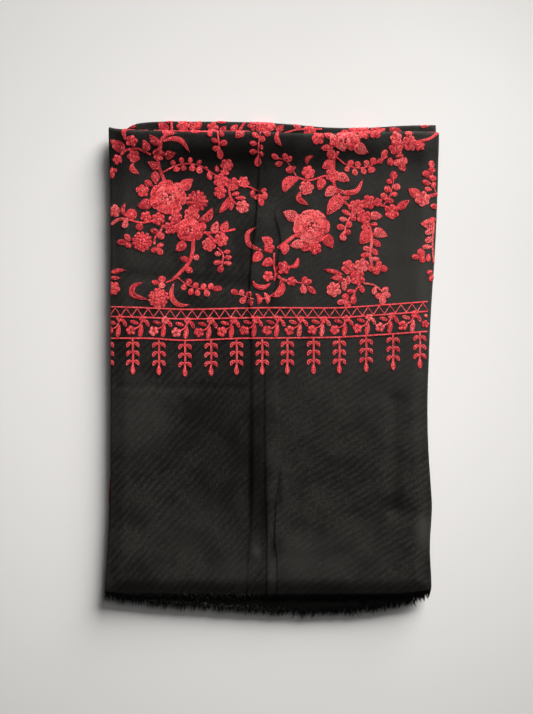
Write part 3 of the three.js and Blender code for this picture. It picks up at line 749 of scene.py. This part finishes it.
def thread_material(name, colour, shade):
    """Wool-silk embroidery yarn: fine ply lines, a little unevenness in its dye, a soft lustre, and painted
    shade in the trough under the front fold.
    """
    material, shader, place = nodes_of(name)
    dye, ply = noise(place, 420.0), noise(place, 2600.0)
    tone = mixed(ramp(dye, 0.36, 0.58), shade, colour)
    tone = mixed(ramp(ply, 0.35, 1.6), tone, shade)
    # painted shade: the darker colour in the trough under the front fold
    tone = mixed(patch(place, *PAINTED_FOLD_SHADE), tone, shade)
    feed(shader, {
        "Base Color": tone, "Roughness": 0.6, "Specular IOR Level": 0.08,
        "Sheen Weight": 0.3, "Sheen Roughness": 0.6, "Sheen Tint": (1.0, 0.38, 0.36, 1),
        "Normal": raised(ply, 0.4, 0.00015),
    })
    return material


def floor_material():
    """A pale painted surface, with a painted highlight of the window's light at the upper right and painted
    shade that darkens it far from the shawl.
    """
    material, shader, place = nodes_of("pale_floor")
    pale = mixed(noise(place, 3.0), (0.72, 0.706, 0.694, 1), (0.74, 0.726, 0.714, 1))
    # painted highlight: the window's light on the floor at the upper right
    pale = mixed(patch(place, 270, 340, 260, 240, 1.0), pale, (0.87, 0.855, 0.84, 1))
    centred = add("Mapping", {"Vector": place, "Location": (0.01, 0.0, 0)})["Vector"]
    painted_light_pool = add("TexGradient", {"Vector": centred}, gradient_type="SPHERICAL")["Fac"]
    # painted shade: the floor darker far from the shawl, where the light falls off
    tone = mixed(ramp(painted_light_pool, 0.5, 0.85), (0.51, 0.503, 0.493, 1), pale)
    feed(shader, {"Base Color": tone, "Roughness": 0.8, "Specular IOR Level": 0.2})
    return material


# ---------------------------------------------------------------- the stage
def stage():
    scene = bpy.context.scene
    scene.view_settings.view_transform = "Standard"
    mesh = bpy.data.meshes.new("floor")
    mesh.from_pydata([(-3, -3, 0), (3, -3, 0), (3, 3, 0), (-3, 3, 0)], [], [(0, 1, 2, 3)])
    mesh.materials.append(floor_material())
    floor = bpy.data.objects.new("floor", mesh)
    scene.collection.objects.link(floor)

    camera = bpy.data.objects.new("camera", bpy.data.cameras.new("camera"))
    scene.collection.objects.link(camera)
    camera.location = (-4.8 * MM, 11.1 * MM, 1.314)
    camera.data.sensor_width = 36
    camera.data.lens = 36 * 1.3 / 0.755  # 0.755 m of the cloth's plane, from 1.3 m above it
    scene.camera = camera

    # name, location, size, power
    for name, location, size, power in (
        ("window", (3.4, 6.2, 2.3), 5.2, 2080), ("skylight", (2.0, 3.6, 6.0), 3.5, 80),
    ):
        light = bpy.data.lights.new(name, "AREA")
        light.shape, light.size, light.energy, light.color = "DISK", size, power, (1.0, 0.99, 0.975)
        lamp = bpy.data.objects.new(name, light)
        lamp.location = location
        lamp.rotation_euler = (-Vector(location)).to_track_quat("-Z", "Y").to_euler()
        scene.collection.objects.link(lamp)

    scene.world = bpy.data.worlds.new("room")
    scene.world.use_nodes = True
    feed(scene.world.node_tree.nodes["Background"], {"Color": (0.93, 0.93, 0.94, 1), "Strength": 0.05})


# ---------------------------------------------------------------- the charts, in millimetres
# stem and horn: width, then x and y of the points along it. leaf and drop: base x, y, tip x, y, width.
# blossom, mum and star: x, y, radius. rose: x, y, half width, half height. A rose or a mum may end with a
# shift of its yarn, and a drop with its lift and its yarn.
FIELD = {"horn": [
    (5, -142.3, 252.4, -154.9, 250, -153.1, 238.1), (6, -145.5, 216.5, -146.7, 209.9, -139.3, 204.1),
    (5.4, -115.1, 237.2, -105.7, 241.1, -95, 239.3, -86, 227.3), (7, -42.5, 181.1, -47, 172.7, -54.8, 162.6),
    (4.8, -151.9, 157.8, -156.7, 165.6, -153.9, 174.5), (8.6, -77.5, 154.1, -66.8, 158.6, -62, 168.8),
    (6, -134.9, 90.1, -145.5, 85.3, -146.2, 77.2, -129.7, 71.2),
    (5.5, -102.7, 90.3, -105.3, 76, -98.5, 66.6, -85.1, 65.8),
    (5.3, -14.4, 148.3, -24.5, 141.9, -23.1, 129.9, -7.5, 122.5),
    (5.3, -19.5, 92.1, -15.9, 86.1, -7.5, 84.6, 0, 89.1), (5.3, -16.8, 78.1, -11.7, 72.4, -14.1, 65.7),
    (5.3, -7.7, 79.3, -3.3, 72.8, -4.4, 66.4), (5.6, 7.5, 248.8, 5.9, 241.1, 10.7, 233.3),
    (4.8, 45, 223.6, 38.5, 220.3, 37.5, 213.6), (11.3, 29.4, 200.1, 18.2, 195.5, 13.4, 184.5),
    (6.2, 31.6, 186.8, 29.3, 178.1, 39.6, 171.4), (5.6, 66.8, 190.4, 76.8, 184.8, 90.2, 186.4, 97.2, 199),
    (5.1, 18.6, 105.9, 25.9, 107.5, 28.9, 116.6), (8, 9.9, 93.1, 11.5, 84.1, 6.5, 77.4, -1.1, 75.9),
    (4.8, 77.1, 97.4, 66.1, 101.1, 55.1, 103.3),
], "stem": [
    (2.6, -140.5, 252.8, -129.1, 252.4), (2.4, -158.5, 224.3, -153.7, 229.1, -141.7, 230.9, -127.3, 224.9),
    (3.8, -109.9, 245.8, -115.6, 239.3, -117.7, 227.9), (3.1, -120.1, 219.5, -117.7, 209.9, -112.3, 196.7),
    (1.7, -114.1, 206.3, -103.3, 212.1, -90.2, 215.3, -75.8, 213.5, -67.4, 208.7, -57.8, 202.5),
    (1.7, -33.8, 191.9, -24.2, 191, -13.2, 185.7), (2.2, -44.6, 189.3, -42.8, 179.9, -36.8, 172.1),
    (1.7, -56.6, 249.7, -55.4, 239.9, -54, 227.9), (1.7, -9.6, 252.8, -12.5, 239.9, -13.5, 223.7),
    (3.1, -169.7, 150.9, -160.9, 156.5, -149.8, 156), (2.2, -149.8, 156, -136.9, 152.7, -123.7, 155.3),
    (2.2, -114.1, 150.9, -117.1, 143.1, -122.3, 137.7, -123.1, 129.6),
    (3.4, -81.8, 134.4, -83, 121.5, -86.6, 110.7, -95, 101.1, -103.1, 93.3),
    (1.7, -103.1, 92.7, -111.5, 89.6), (1.4, -99.7, 96.3, -91.4, 89.1, -74.6, 82.9, -62.6, 83.1),
    (2.4, -71, 141.9, -51.8, 143.1, -37.7, 145.9), (2.4, -69.8, 143.1, -59.6, 134.1),
    (1.4, -56.6, 126.3, -50.6, 120.3, -51.8, 107.1), (1.2, -35, 77.8, -18.3, 72.1),
    (1.4, -13.5, 72.4, -4.5, 73.6, 2.1, 76.4),
    (1.4, -124, 250.6, -97, 248.6, -66, 247.8, -46, 249.4, -22, 249.2),
    (3.2, 70.8, 227.9, 66.4, 219.6, 66.1, 208.6),
    (1.6, 68.8, 222.6, 79.5, 214.3, 94.2, 210.9, 109, 214.9, 123, 222.6),
    (2.7, 152.1, 237.6, 166.6, 241.1, 176.6, 248), (1.3, 7.9, 221.2, 16.6, 217.6, 27.5, 200.9),
    (1.9, 27.3, 200.9, 39.3, 197.5, 58.1, 202.9), (2.7, 66.1, 198.2, 67.5, 190.2, 75.5, 176.8, 83.3, 169.8),
    (1.3, 118.4, 171.4, 124, 178.1, 127.7, 188.8, 129.3, 198.2),
    (1.3, 174.9, 183.5, 171.9, 191.5, 169.9, 206.2), (3.2, 165.2, 180.5, 176, 183.5),
    (1.6, 111.7, 171.4, 123.7, 169.8), (3.5, 26.2, 140, 15.2, 131.6, 7.2, 125.6),
    (1.9, 3.2, 120.9, 3.2, 107.5, 4.8, 98.8, 3.2, 91.5), (2.7, 5.6, 98.8, 9.9, 93.9, 16.8, 91.2),
    (1.6, 26.6, 90.1, 33.3, 88.8), (1.6, 83.8, 160, 79.8, 151.7, 77.1, 142.4),
    (2.7, 101.6, 154.4, 105, 145, 106.3, 133, 104.3, 118.3, 106.6, 108.9), (1.3, 75.5, 94.1, 68.8, 86.1),
    (1.9, 97.6, 88.8, 107.6, 87.4, 117, 80.8), (2.1, 94.2, 87.7, 88.9, 80.8, 86.5, 72.7),
    (1.9, 172.7, 151.7, 170.6, 131.6, 172.2, 110.2),
], "blossom": [
    (86, 247.6, 5.6), (98, 247, 6.4), (110, 247.2, 6), (-147.1, 238.7, 6), (-162.4, 219.7, 5),
    (-145.3, 223.1, 6.5), (-118.9, 224.9, 6.2), (-46.8, 213.7, 6.7), (-135.7, 186.5, 6.5), (-53, 197.3, 7.4),
    (-40.4, 193.5, 7.2), (-53.6, 184.7, 6.7), (-30, 169.7, 7), (-165.7, 165.3, 6.5), (-132.1, 159.2, 5.5),
    (-118.9, 156.8, 7), (-100.9, 158.4, 7.2), (-83.9, 161.3, 8.1), (-106.7, 147.3, 6.7), (-166.6, 83.5, 7),
    (-65.6, 129.6, 7.4), (-52.4, 134.7, 7.2), (-2, 126.3, 5.5), (-3.3, 96.3, 5.5), (49.4, 241.3, 6.2),
    (131.8, 231.7, 7.5), (132, 241.7, 6.2), (145.8, 236.4, 8), (39.3, 206.2, 7), (37.3, 189.5, 7.4),
    (64.8, 202.9, 7.4), (159.9, 178.1, 8), (89.6, 169.4, 7.8), (103, 174.1, 7.4), (113, 174.4, 4.6),
    (127.7, 164.7, 7.8), (46, 126.3, 7), (12.5, 104.9, 7), (21.9, 90.8, 5.1), (97.6, 159.1, 7.5),
    (81.5, 105.5, 7.4), (95.6, 107.5, 7.6), (90.9, 94.8, 8), (66.1, 82.1, 7.6),
], "leaf": [
    (-154.3, 229.1, -170.5, 241.1, 10.2), (-130.3, 228.2, -135.5, 240.5, 7.4),
    (-118.1, 235.3, -128.3, 246.1, 7.8), (-112.9, 224, -100.3, 226.4, 8.4),
    (-118.7, 209.3, -131.1, 217.3, 7.8), (-56.6, 206.1, -57.8, 214.4, 4.3),
    (-126.4, 175.7, -141.9, 170.1, 11), (-95.2, 188.1, -81.8, 199.1, 11), (-28.1, 249.2, -37.7, 240.8, 8.6),
    (-115.9, 248.5, -98.8, 246.4, 4.6), (-86, 249.4, -72.2, 247, 5.3), (-90.4, 132.5, -101.2, 122, 8.9),
    (-169.7, 99.6, -152.5, 102.3, 4.6), (-169.7, 95.1, -158.2, 94.9, 3.8), (-62.4, 142.3, -56.8, 155.5, 7.9),
    (-51.8, 143.1, -46.1, 155.5, 7.9), (1.2, 130.1, -10.6, 137.3, 9.1), (-9.2, 120.9, -19, 109.8, 9.1),
    (2.1, 113.1, -10.1, 106.9, 8.9), (63.7, 242.1, 55.1, 249.4, 8), (88.6, 235.4, 103.4, 226.6, 11.8),
    (84.9, 238.4, 95.9, 244, 7), (62.4, 233.3, 51.1, 230.9, 5.9), (65.6, 217.7, 53.3, 210, 9.4),
    (141.1, 245.3, 150.8, 245.9, 4.3), (56.1, 199.5, 50.1, 186.1, 8.6), (70.1, 203.8, 83.5, 196.6, 9.6),
    (67.7, 190.2, 56.5, 179.7, 9.9), (75.8, 181, 58.6, 159.2, 12.6), (75.5, 177.8, 84.6, 179.7, 4.3),
    (156.1, 179.7, 144.1, 188.5, 9.4), (176, 170.1, 167.1, 171.4, 6.2), (133.4, 167.1, 146.8, 177, 7.5),
    (27.5, 156.3, 11.7, 164.1, 11.5), (56.1, 139.7, 65.1, 125.2, 12.9), (34.2, 131.6, 19, 128.2, 8.8),
    (14.7, 131.1, 13.1, 117.7, 8.3), (104.3, 161.1, 118.6, 159.8, 8.3), (105.8, 145, 93.2, 129.2, 12.3),
    (107.6, 144.4, 123.7, 138.1, 9.4), (75.8, 94.7, 61.8, 93.3, 5.4), (173.9, 151.5, 156.9, 151.7, 9.9),
], "drop": [
    (-103.6, 212.3, -103.6, 218.9, 5), (-100.9, 212.3, -99.1, 207.3, 6.6), (-93.8, 214.7, -95.2, 221.6, 5),
    (-93.2, 214.4, -92.3, 208.1, 5.8), (-86, 215.3, -85.1, 221.6, 4.6), (-83.6, 214.9, -83, 207.7, 6.2),
    (-78.8, 214.4, -74, 218.5, 4.1), (-76.4, 213.5, -75.2, 205.1, 6), (-69.2, 209.9, -68, 212.1, 3.6),
    (-65.6, 207.5, -64.4, 198.5, 5.3), (-54.2, 207.5, -44.9, 204.9, 5), (-121.3, 193.7, -122.8, 206.5, 8.1),
    (-124.9, 191.7, -133.1, 196.5, 6.2), (-18.9, 188.6, -20.1, 179.9, 4.8), (-11.1, 184.5, -5.3, 188.1, 4.3),
    (-9.9, 181.1, -4.1, 181.1, 7.4), (-9.6, 182.3, -17.5, 178, 5), (-10.5, 181.1, -10.3, 170.6, 5.5),
    (-42.2, 182.1, -33.8, 183.8, 4.3), (-38.6, 178.7, -27.2, 178.7, 4.3), (-41, 178.5, -42.9, 166.5, 5),
    (-55.4, 245.8, -49.7, 245.2, 4.1), (-55.6, 236.9, -62.4, 240.8, 5), (-55.4, 235.7, -46.8, 237.5, 5.8),
    (-54.2, 232.1, -61.2, 230.3, 5.5), (-54.7, 231.5, -53.3, 220.9, 6.2), (-9.9, 249.4, -1.2, 244.9, 5.5),
    (-11.7, 242.5, -19.7, 245.8, 4.6), (-13.5, 240.8, -6.5, 240.8, 6.2), (-14.1, 235.5, -22.1, 237, 5),
    (-13.9, 232.1, -8.7, 232.2, 5.3), (-14.4, 228.1, -22.3, 227.2, 5.3), (-13.9, 224.9, -8.4, 224.9, 5.5),
    (-13.5, 224, -14.2, 212.8, 6.5), (-62.6, 249.4, -65.6, 243.7, 5), (-168.3, 212.3, -168.3, 200.5, 5.5),
    (-169.3, 207.5, -163, 208.5, 4.8), (-150.6, 155.1, -145, 166.1, 10.5),
    (-151.9, 156.2, -155.5, 147.6, 6.2), (-137.5, 153.6, -140, 145.2, 7), (-74.6, 147.9, -69.2, 150.3, 7.9),
    (-117.7, 141.9, -126.8, 144.9, 5.5), (-119.5, 143.1, -113.9, 136.1, 6.7),
    (-148.3, 133.2, -153.9, 140.2, 5.5), (-150.7, 132.3, -162.1, 132.3, 5.5),
    (-149.5, 132, -151.3, 126.5, 6.2), (-121.3, 127.2, -114.1, 129.9, 5), (-121.8, 127.2, -125.4, 121.5, 5),
    (-121.3, 126.8, -115.1, 119.6, 6), (-85.1, 112.9, -95, 115, 5.8), (-82.7, 115.7, -76.3, 116.7, 6),
    (-91.1, 105.9, -83.6, 100.9, 6.5), (-117.5, 89.1, -125.6, 90.3, 5), (-115.1, 89.1, -115.3, 96.3, 7.2),
    (-115.3, 90.3, -115.3, 83.9, 6.5), (-88.7, 87.7, -85.1, 93, 6.2), (-91.4, 88.5, -92.6, 81.9, 5.3),
    (-81.8, 84.8, -77.9, 88.7, 5.5), (-83, 84.3, -85.6, 76.9, 5.3), (-74.3, 83.4, -69.2, 87.5, 5.3),
    (-78.2, 82.9, -77, 75.7, 5.3), (-66.2, 82.9, -61.9, 88.2, 5.3), (-69.8, 82.4, -66.2, 75.5, 6),
    (-63.8, 83.4, -52.3, 83.4, 5.5), (-51.8, 119.6, -59.2, 120.3, 5), (-50.6, 121.3, -43.4, 122.5, 4.3),
    (-50.6, 116, -42, 116, 4.8), (-51.1, 111.9, -60.4, 110, 5), (-51.1, 110.7, -42, 109.5, 4.3),
    (-51.8, 108.8, -54.2, 100.6, 6), (-33.8, 76.9, -41.7, 81.5, 5.5), (-29.5, 76, -31.9, 81.9, 5.3),
    (-25.2, 73.6, -22.3, 79.8, 5.3), (-25.9, 74.2, -32.4, 68.5, 6), (-23.1, 72.8, -21.3, 65.7, 5.5),
    (63.4, 232.3, 63.4, 220.7, 8.3), (81.9, 212.9, 85.7, 218.6, 6.2), (90.2, 211.6, 92.9, 217.2, 6.2),
    (99.6, 212.1, 101.8, 218.6, 5.9), (107, 214.3, 108.4, 221.2, 6.2), (117, 219.6, 121.3, 229, 5.9),
    (82.2, 212.9, 79.2, 207.3, 5.4), (87.6, 210.9, 89.3, 203.3, 5.4), (95.9, 211.6, 99.1, 204.6, 5.4),
    (104.3, 212.1, 107.1, 206.5, 7.8), (111.4, 216.7, 117.8, 218.6, 5.6), (125.1, 222, 126.4, 213.2, 5.9),
    (130.4, 221.5, 139, 223.9, 4.8), (135.5, 219.4, 143.5, 217.2, 7.2), (135.5, 218.3, 140.1, 207.8, 7),
    (135.8, 219.4, 130.1, 214, 6.2), (8.5, 220.2, 1, 224.4, 5.4), (13.9, 219.4, 15, 225.8, 5.4),
    (16.6, 217.5, 21.4, 222.6, 5.1), (12.8, 216.9, 4.8, 214, 5.4), (26.2, 211.9, 16.3, 207.3, 6.7),
    (128.5, 196.9, 129.9, 206.5, 7), (127.7, 194.2, 122.6, 197.7, 5.4), (127.7, 190.2, 136, 190.8, 6.7),
    (127.2, 186.1, 120, 189.6, 6.7), (125.1, 181.9, 133.1, 183.5, 4.8), (123.7, 176.8, 116.2, 182.9, 6.2),
    (118.4, 177.8, 128.8, 175.4, 5.6), (169.7, 210, 169.3, 218.3, 6.2), (169.9, 204.9, 169.9, 211.3, 7.5),
    (169.3, 201.9, 160.4, 205.7, 6.4), (166.6, 199.5, 174.1, 200.2, 5.9), (169.3, 193.9, 160.1, 196.3, 5.4),
    (169.5, 189.9, 173.3, 195.2, 4.8), (170.6, 187.5, 162.3, 188.8, 4.6), (36.7, 132.7, 35.3, 122.8, 8.8),
    (32.6, 88.5, 36.9, 95.2, 5.6), (34.6, 88, 42.3, 91.7, 5.4), (33.3, 88, 34.6, 78.3, 6.7),
    (37.3, 86.6, 46.3, 78.3, 5.4), (85.1, 160.8, 75.2, 165.4, 4.8), (83.5, 162.5, 88.4, 155.5, 5.9),
    (81.7, 155.8, 72.3, 156.8, 4.8), (79, 151.7, 84.9, 150.4, 7), (78.2, 147.7, 69.9, 148.4, 5.9),
    (77.6, 145, 83, 141.3, 5.9), (76.8, 143.4, 75.5, 133.8, 6.7), (103.1, 150.4, 95.9, 146.6, 5.9),
    (104.3, 150.9, 111.9, 151.1, 4.3), (107, 135.7, 114.6, 127.9, 5.9), (105.6, 124.9, 97.5, 125.6, 5.4),
    (106.3, 125.6, 111.9, 119.3, 5.4), (105, 120.3, 95.1, 117.4, 5.1), (104.3, 114.8, 113.8, 114.2, 4.6),
    (107.1, 109.9, 104.2, 101.9, 5.9), (111, 107.5, 111, 98.2, 7), (110.3, 107.3, 115.9, 111.3, 5.4),
    (112.2, 105.9, 122.4, 103.5, 6.7), (76.8, 95.2, 77.2, 81.6, 5.4), (81.5, 97.4, 80.9, 88, 5.4),
    (95.6, 87.4, 96.3, 79.1, 5.1), (110.6, 86.1, 108.2, 77.3, 5.1), (115.7, 79.1, 123.4, 83.7, 5.4),
    (117, 77.4, 125.6, 75.9, 5.9), (117, 77.8, 110.9, 73.8, 5.9), (117.7, 78.1, 117.7, 66.3, 6.7),
    (89.2, 80.8, 80.1, 79.9, 4.8), (87, 78.1, 86.9, 67.1, 5.9), (79.5, 69.8, 77.9, 77.5, 7),
    (79.8, 70, 70.1, 68.4, 5.4), (79, 71.4, 81.7, 63.6, 7), (170.6, 153.1, 170.6, 158.4, 6.7),
    (172.7, 146.4, 163.1, 141.3, 5.4), (172.2, 138.3, 163.1, 132.7, 5.6), (170.9, 127.6, 159.9, 127.4, 4.6),
    (161.5, 116.9, 156.4, 124.7, 7), (158.5, 118.3, 160.7, 111, 6.2), (157.5, 116.9, 148.9, 116.6, 5.4),
    (166.8, 120.9, 165.8, 112.1, 4.8), (170.9, 99.5, 168.5, 91.2, 4.8), (170.9, 102.2, 165, 99.8, 4.6),
], "rose": [
    (-108.5, 179.3, 19.4, 17.7), (-86, 144.9, 15.8, 11.7, -1), (77.1, 238.4, 15.8, 8.8),
    (42.3, 149.2, 19, 18, 1),
], "mum": [
    (-78.2, 175.5, 11), (-136.3, 132.9, 10.5), (-118.9, 73.3, 10.8, 2),
], "star": [
    (-28.8, 195.8, 7.4), (156.5, 233.6, 6.7),
]}

REAR = {"leaf": [
    (-110.5, 250.4, -120.4, 261.2, 9.6), (-84.5, 253.4, -77.9, 250.2, 6.2), (-54.4, 250.9, -47.3, 256.9, 7.2),
    (-42.2, 251.4, -34.8, 258.3, 8.2), (-150.7, 256.4, -142.9, 255.2, 3.6), (5.6, 251.1, 13.6, 258.2, 7.5),
    (82.5, 248.8, 73.1, 250.4, 5.9), (115.7, 250.4, 121.8, 255, 5.6), (138.7, 245.7, 124.8, 255, 10.2),
    (158.5, 255.8, 169.5, 257.4, 3.5), (-112, 260.6, -101, 263.4, 4.2), (-79.5, 253.4, -74.2, 263.4, 7.4),
    (-58.5, 263.4, -46, 261.4, 5), (24, 258.4, 33, 254, 5.8),
], "stem": [
    (2.4, -105.7, 262, -105.5, 250.4), (2.6, -35, 250.4, -27.6, 260.8),
    (1.7, -123.7, 251.1, -81.8, 250.9, -23.1, 250.9), (1.9, 13.9, 248.8, 27.3, 252.8, 54.1, 253.6),
    (1.9, 141.1, 246.1, 157.2, 249.4, 176, 249.6),
], "blossom": [
    (-93.6, 256.4, 6.8), (-84.4, 257.2, 4.4), (-61.8, 254.6, 6), (-2.4, 256.4, 6), (40.9, 251, 6.4),
    (87.3, 250.7, 5.4), (98.5, 251, 7), (111.9, 249.9, 6.2),
], "rose": [
    (-15.9, 257.2, 9, 5.5, -1), (-5.9, 256.9, 10.7, 5.9, -1),
]}


# The lowest layer's embroidery, where it shows past the left side
EDGE = {"stem": [
    (2, -174.8, -112, -174, -128, -175, -146), (2, -174.6, -150, -174.2, -162, -175, -176),
], "drop": [
    (-174.6, -116, -173.9, -123, 3.4, 0.1, 3), (-174.4, -126, -173.8, -134, 3.6, 0.1, 2),
    (-174.6, -148, -173.8, -136, 3.8, 0.1, 3), (-174.6, -151, -173.8, -158, 3.4, 0.1, 2),
]}


# ---------------------------------------------------------------- the pieces
def spread(*spans):
    """Numbers over some spans, each start, stop and how many steps."""
    return np.unique(np.round(np.concatenate([np.linspace(a, b, n + 1) for a, b, n in spans]), 6))


def front_across(y):
    """u over the upper panel: round the side fold, closely over the creases, and on to the right edge."""
    start = left_side(y) + SIDE_RADIUS
    under = start - math.pi * SIDE_RADIUS
    knots = [under - FOLD_ARM, under, start, 0 * y + MIDDLE[0], 0 * y + MIDDLE[1], right_side(y)]
    columns = [knots[0]]
    for a, b, n in zip(knots, knots[1:], [2, 8, 58, 56, 66]):
        columns += [a + (b - a) * k / n for k in range(1, n + 1)]
    return np.concatenate(columns, axis=1)


def plain_across(start, stop, n):
    return lambda y: start(y) + (stop(y) - start(y)) * np.linspace(0, 1, n)[None]


def rear_place(x, y, lift):
    """Puts a point seen from above behind the front fold on the rear fold's upper side."""
    centre = BASE.centre(x)
    over = y - centre
    turn = math.pi - np.arcsin(np.clip(over / BASE.radius, 0, 1))
    v = np.where(over <= 0, centre + math.pi * BASE.radius - over, centre + BASE.radius * turn)
    v = v - np.maximum(over - BASE.radius, 0)
    return BASE.lifted(x, v, lift)


def dress(piece, slot, *nodes):
    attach(piece, "root")
    if nodes:
        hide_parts(*nodes)


stage()
twill = cloth_material()
reds = [
    # crimson, the darkest yarn, is given at random and, through tone_at, as painted shade towards the folds
    thread_material("crimson_thread", (0.72, 0.03, 0.053, 1), (0.36, 0.01, 0.021, 1)),
    thread_material("red_thread", (0.98, 0.068, 0.086, 1), (0.6, 0.024, 0.038, 1)),
    thread_material("warm_thread", (1.0, 0.13, 0.14, 1), (0.78, 0.045, 0.06, 1)),
    thread_material("coral_thread", (1.0, 0.27, 0.26, 1), (1.0, 0.12, 0.125, 1)),
    # the ground under the stitches: a near black red, partly the dark cloth between the rows and partly
    # painted shade between the stitches
    thread_material("thread_ground", (0.15, 0.006, 0.01, 1), (0.1, 0.004, 0.007, 1)),
]

rows = spread((0, 0.02, 4), (0.02, 0.5, 84), (0.5, 0.9, 76), (0.9, 1, 26), (1, 2, 16), (2, 3, 2))
front = cloth_shell("front_cloth", FRONT, front_across, rows, twill)
dress(front, "cloth", "front_panel")
twin_across = plain_across(lambda y: left_side(y) + SIDE_RADIUS + 13, lambda y: right_side(y) - 1.4, 60)
rows = spread((0, 0.05, 12), (0.05, 1, 46), (1, 2, 12), (2, 3, 2))
twin = cloth_shell("twin_cloth", TWIN, twin_across, rows, twill)
dress(twin, "cloth", "twin_panel")
base_start = lambda y: base_side(y) + SIDE_RADIUS * (1 - math.pi) - FOLD_ARM
base_across = plain_across(base_start, lambda y: right_side(y) - 2.2, 160)
rows = spread((0, 0.92, 40), (0.92, 1, 6), (1, 2, 14), (2, 3, 3))
base = cloth_shell("base_cloth", BASE, base_across, rows, twill)
dress(base, "cloth", "base_panel")

needlework = [
    embroider(FIELD, lambda x, y: x < PARTING).lay("left_flowers", FRONT.lifted, reds),
    embroider(FIELD, lambda x, y: x >= PARTING).lay("right_flowers", FRONT.lifted, reds),
    border().lay("border_embroidery", FRONT.lifted, reds),
    embroider(REAR).lay("rear_flowers", rear_place, reds),
    embroider(EDGE).lay("edge_flowers", BASE.lifted, reds),
]
for piece in needlework:
    dress(piece, "thread")

yarn = yarn_material()
left, right = left_side(HEM_Y), right_side(CORNER_Y)
frays = [
    frayed("front_fringe", FRONT, left + 1, right - 0.3, 5200, 8.0, on_twin, yarn),
    frayed("twin_fringe", TWIN, left + 15, right - 2, 5200, 9.8, off_twin, yarn),
    frayed("base_fringe", BASE, base_side(HEM_Y) + 2, right - 3, 1800, 6.0, lambda x, y: 0 * x, yarn),
]
for piece, node in zip(frays, ("front_fray", "twin_fray", "base_fray")):
    dress(piece, "fray", node)

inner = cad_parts["inner_layers"]
inner.data.materials.clear()
inner.data.materials.append(twill)
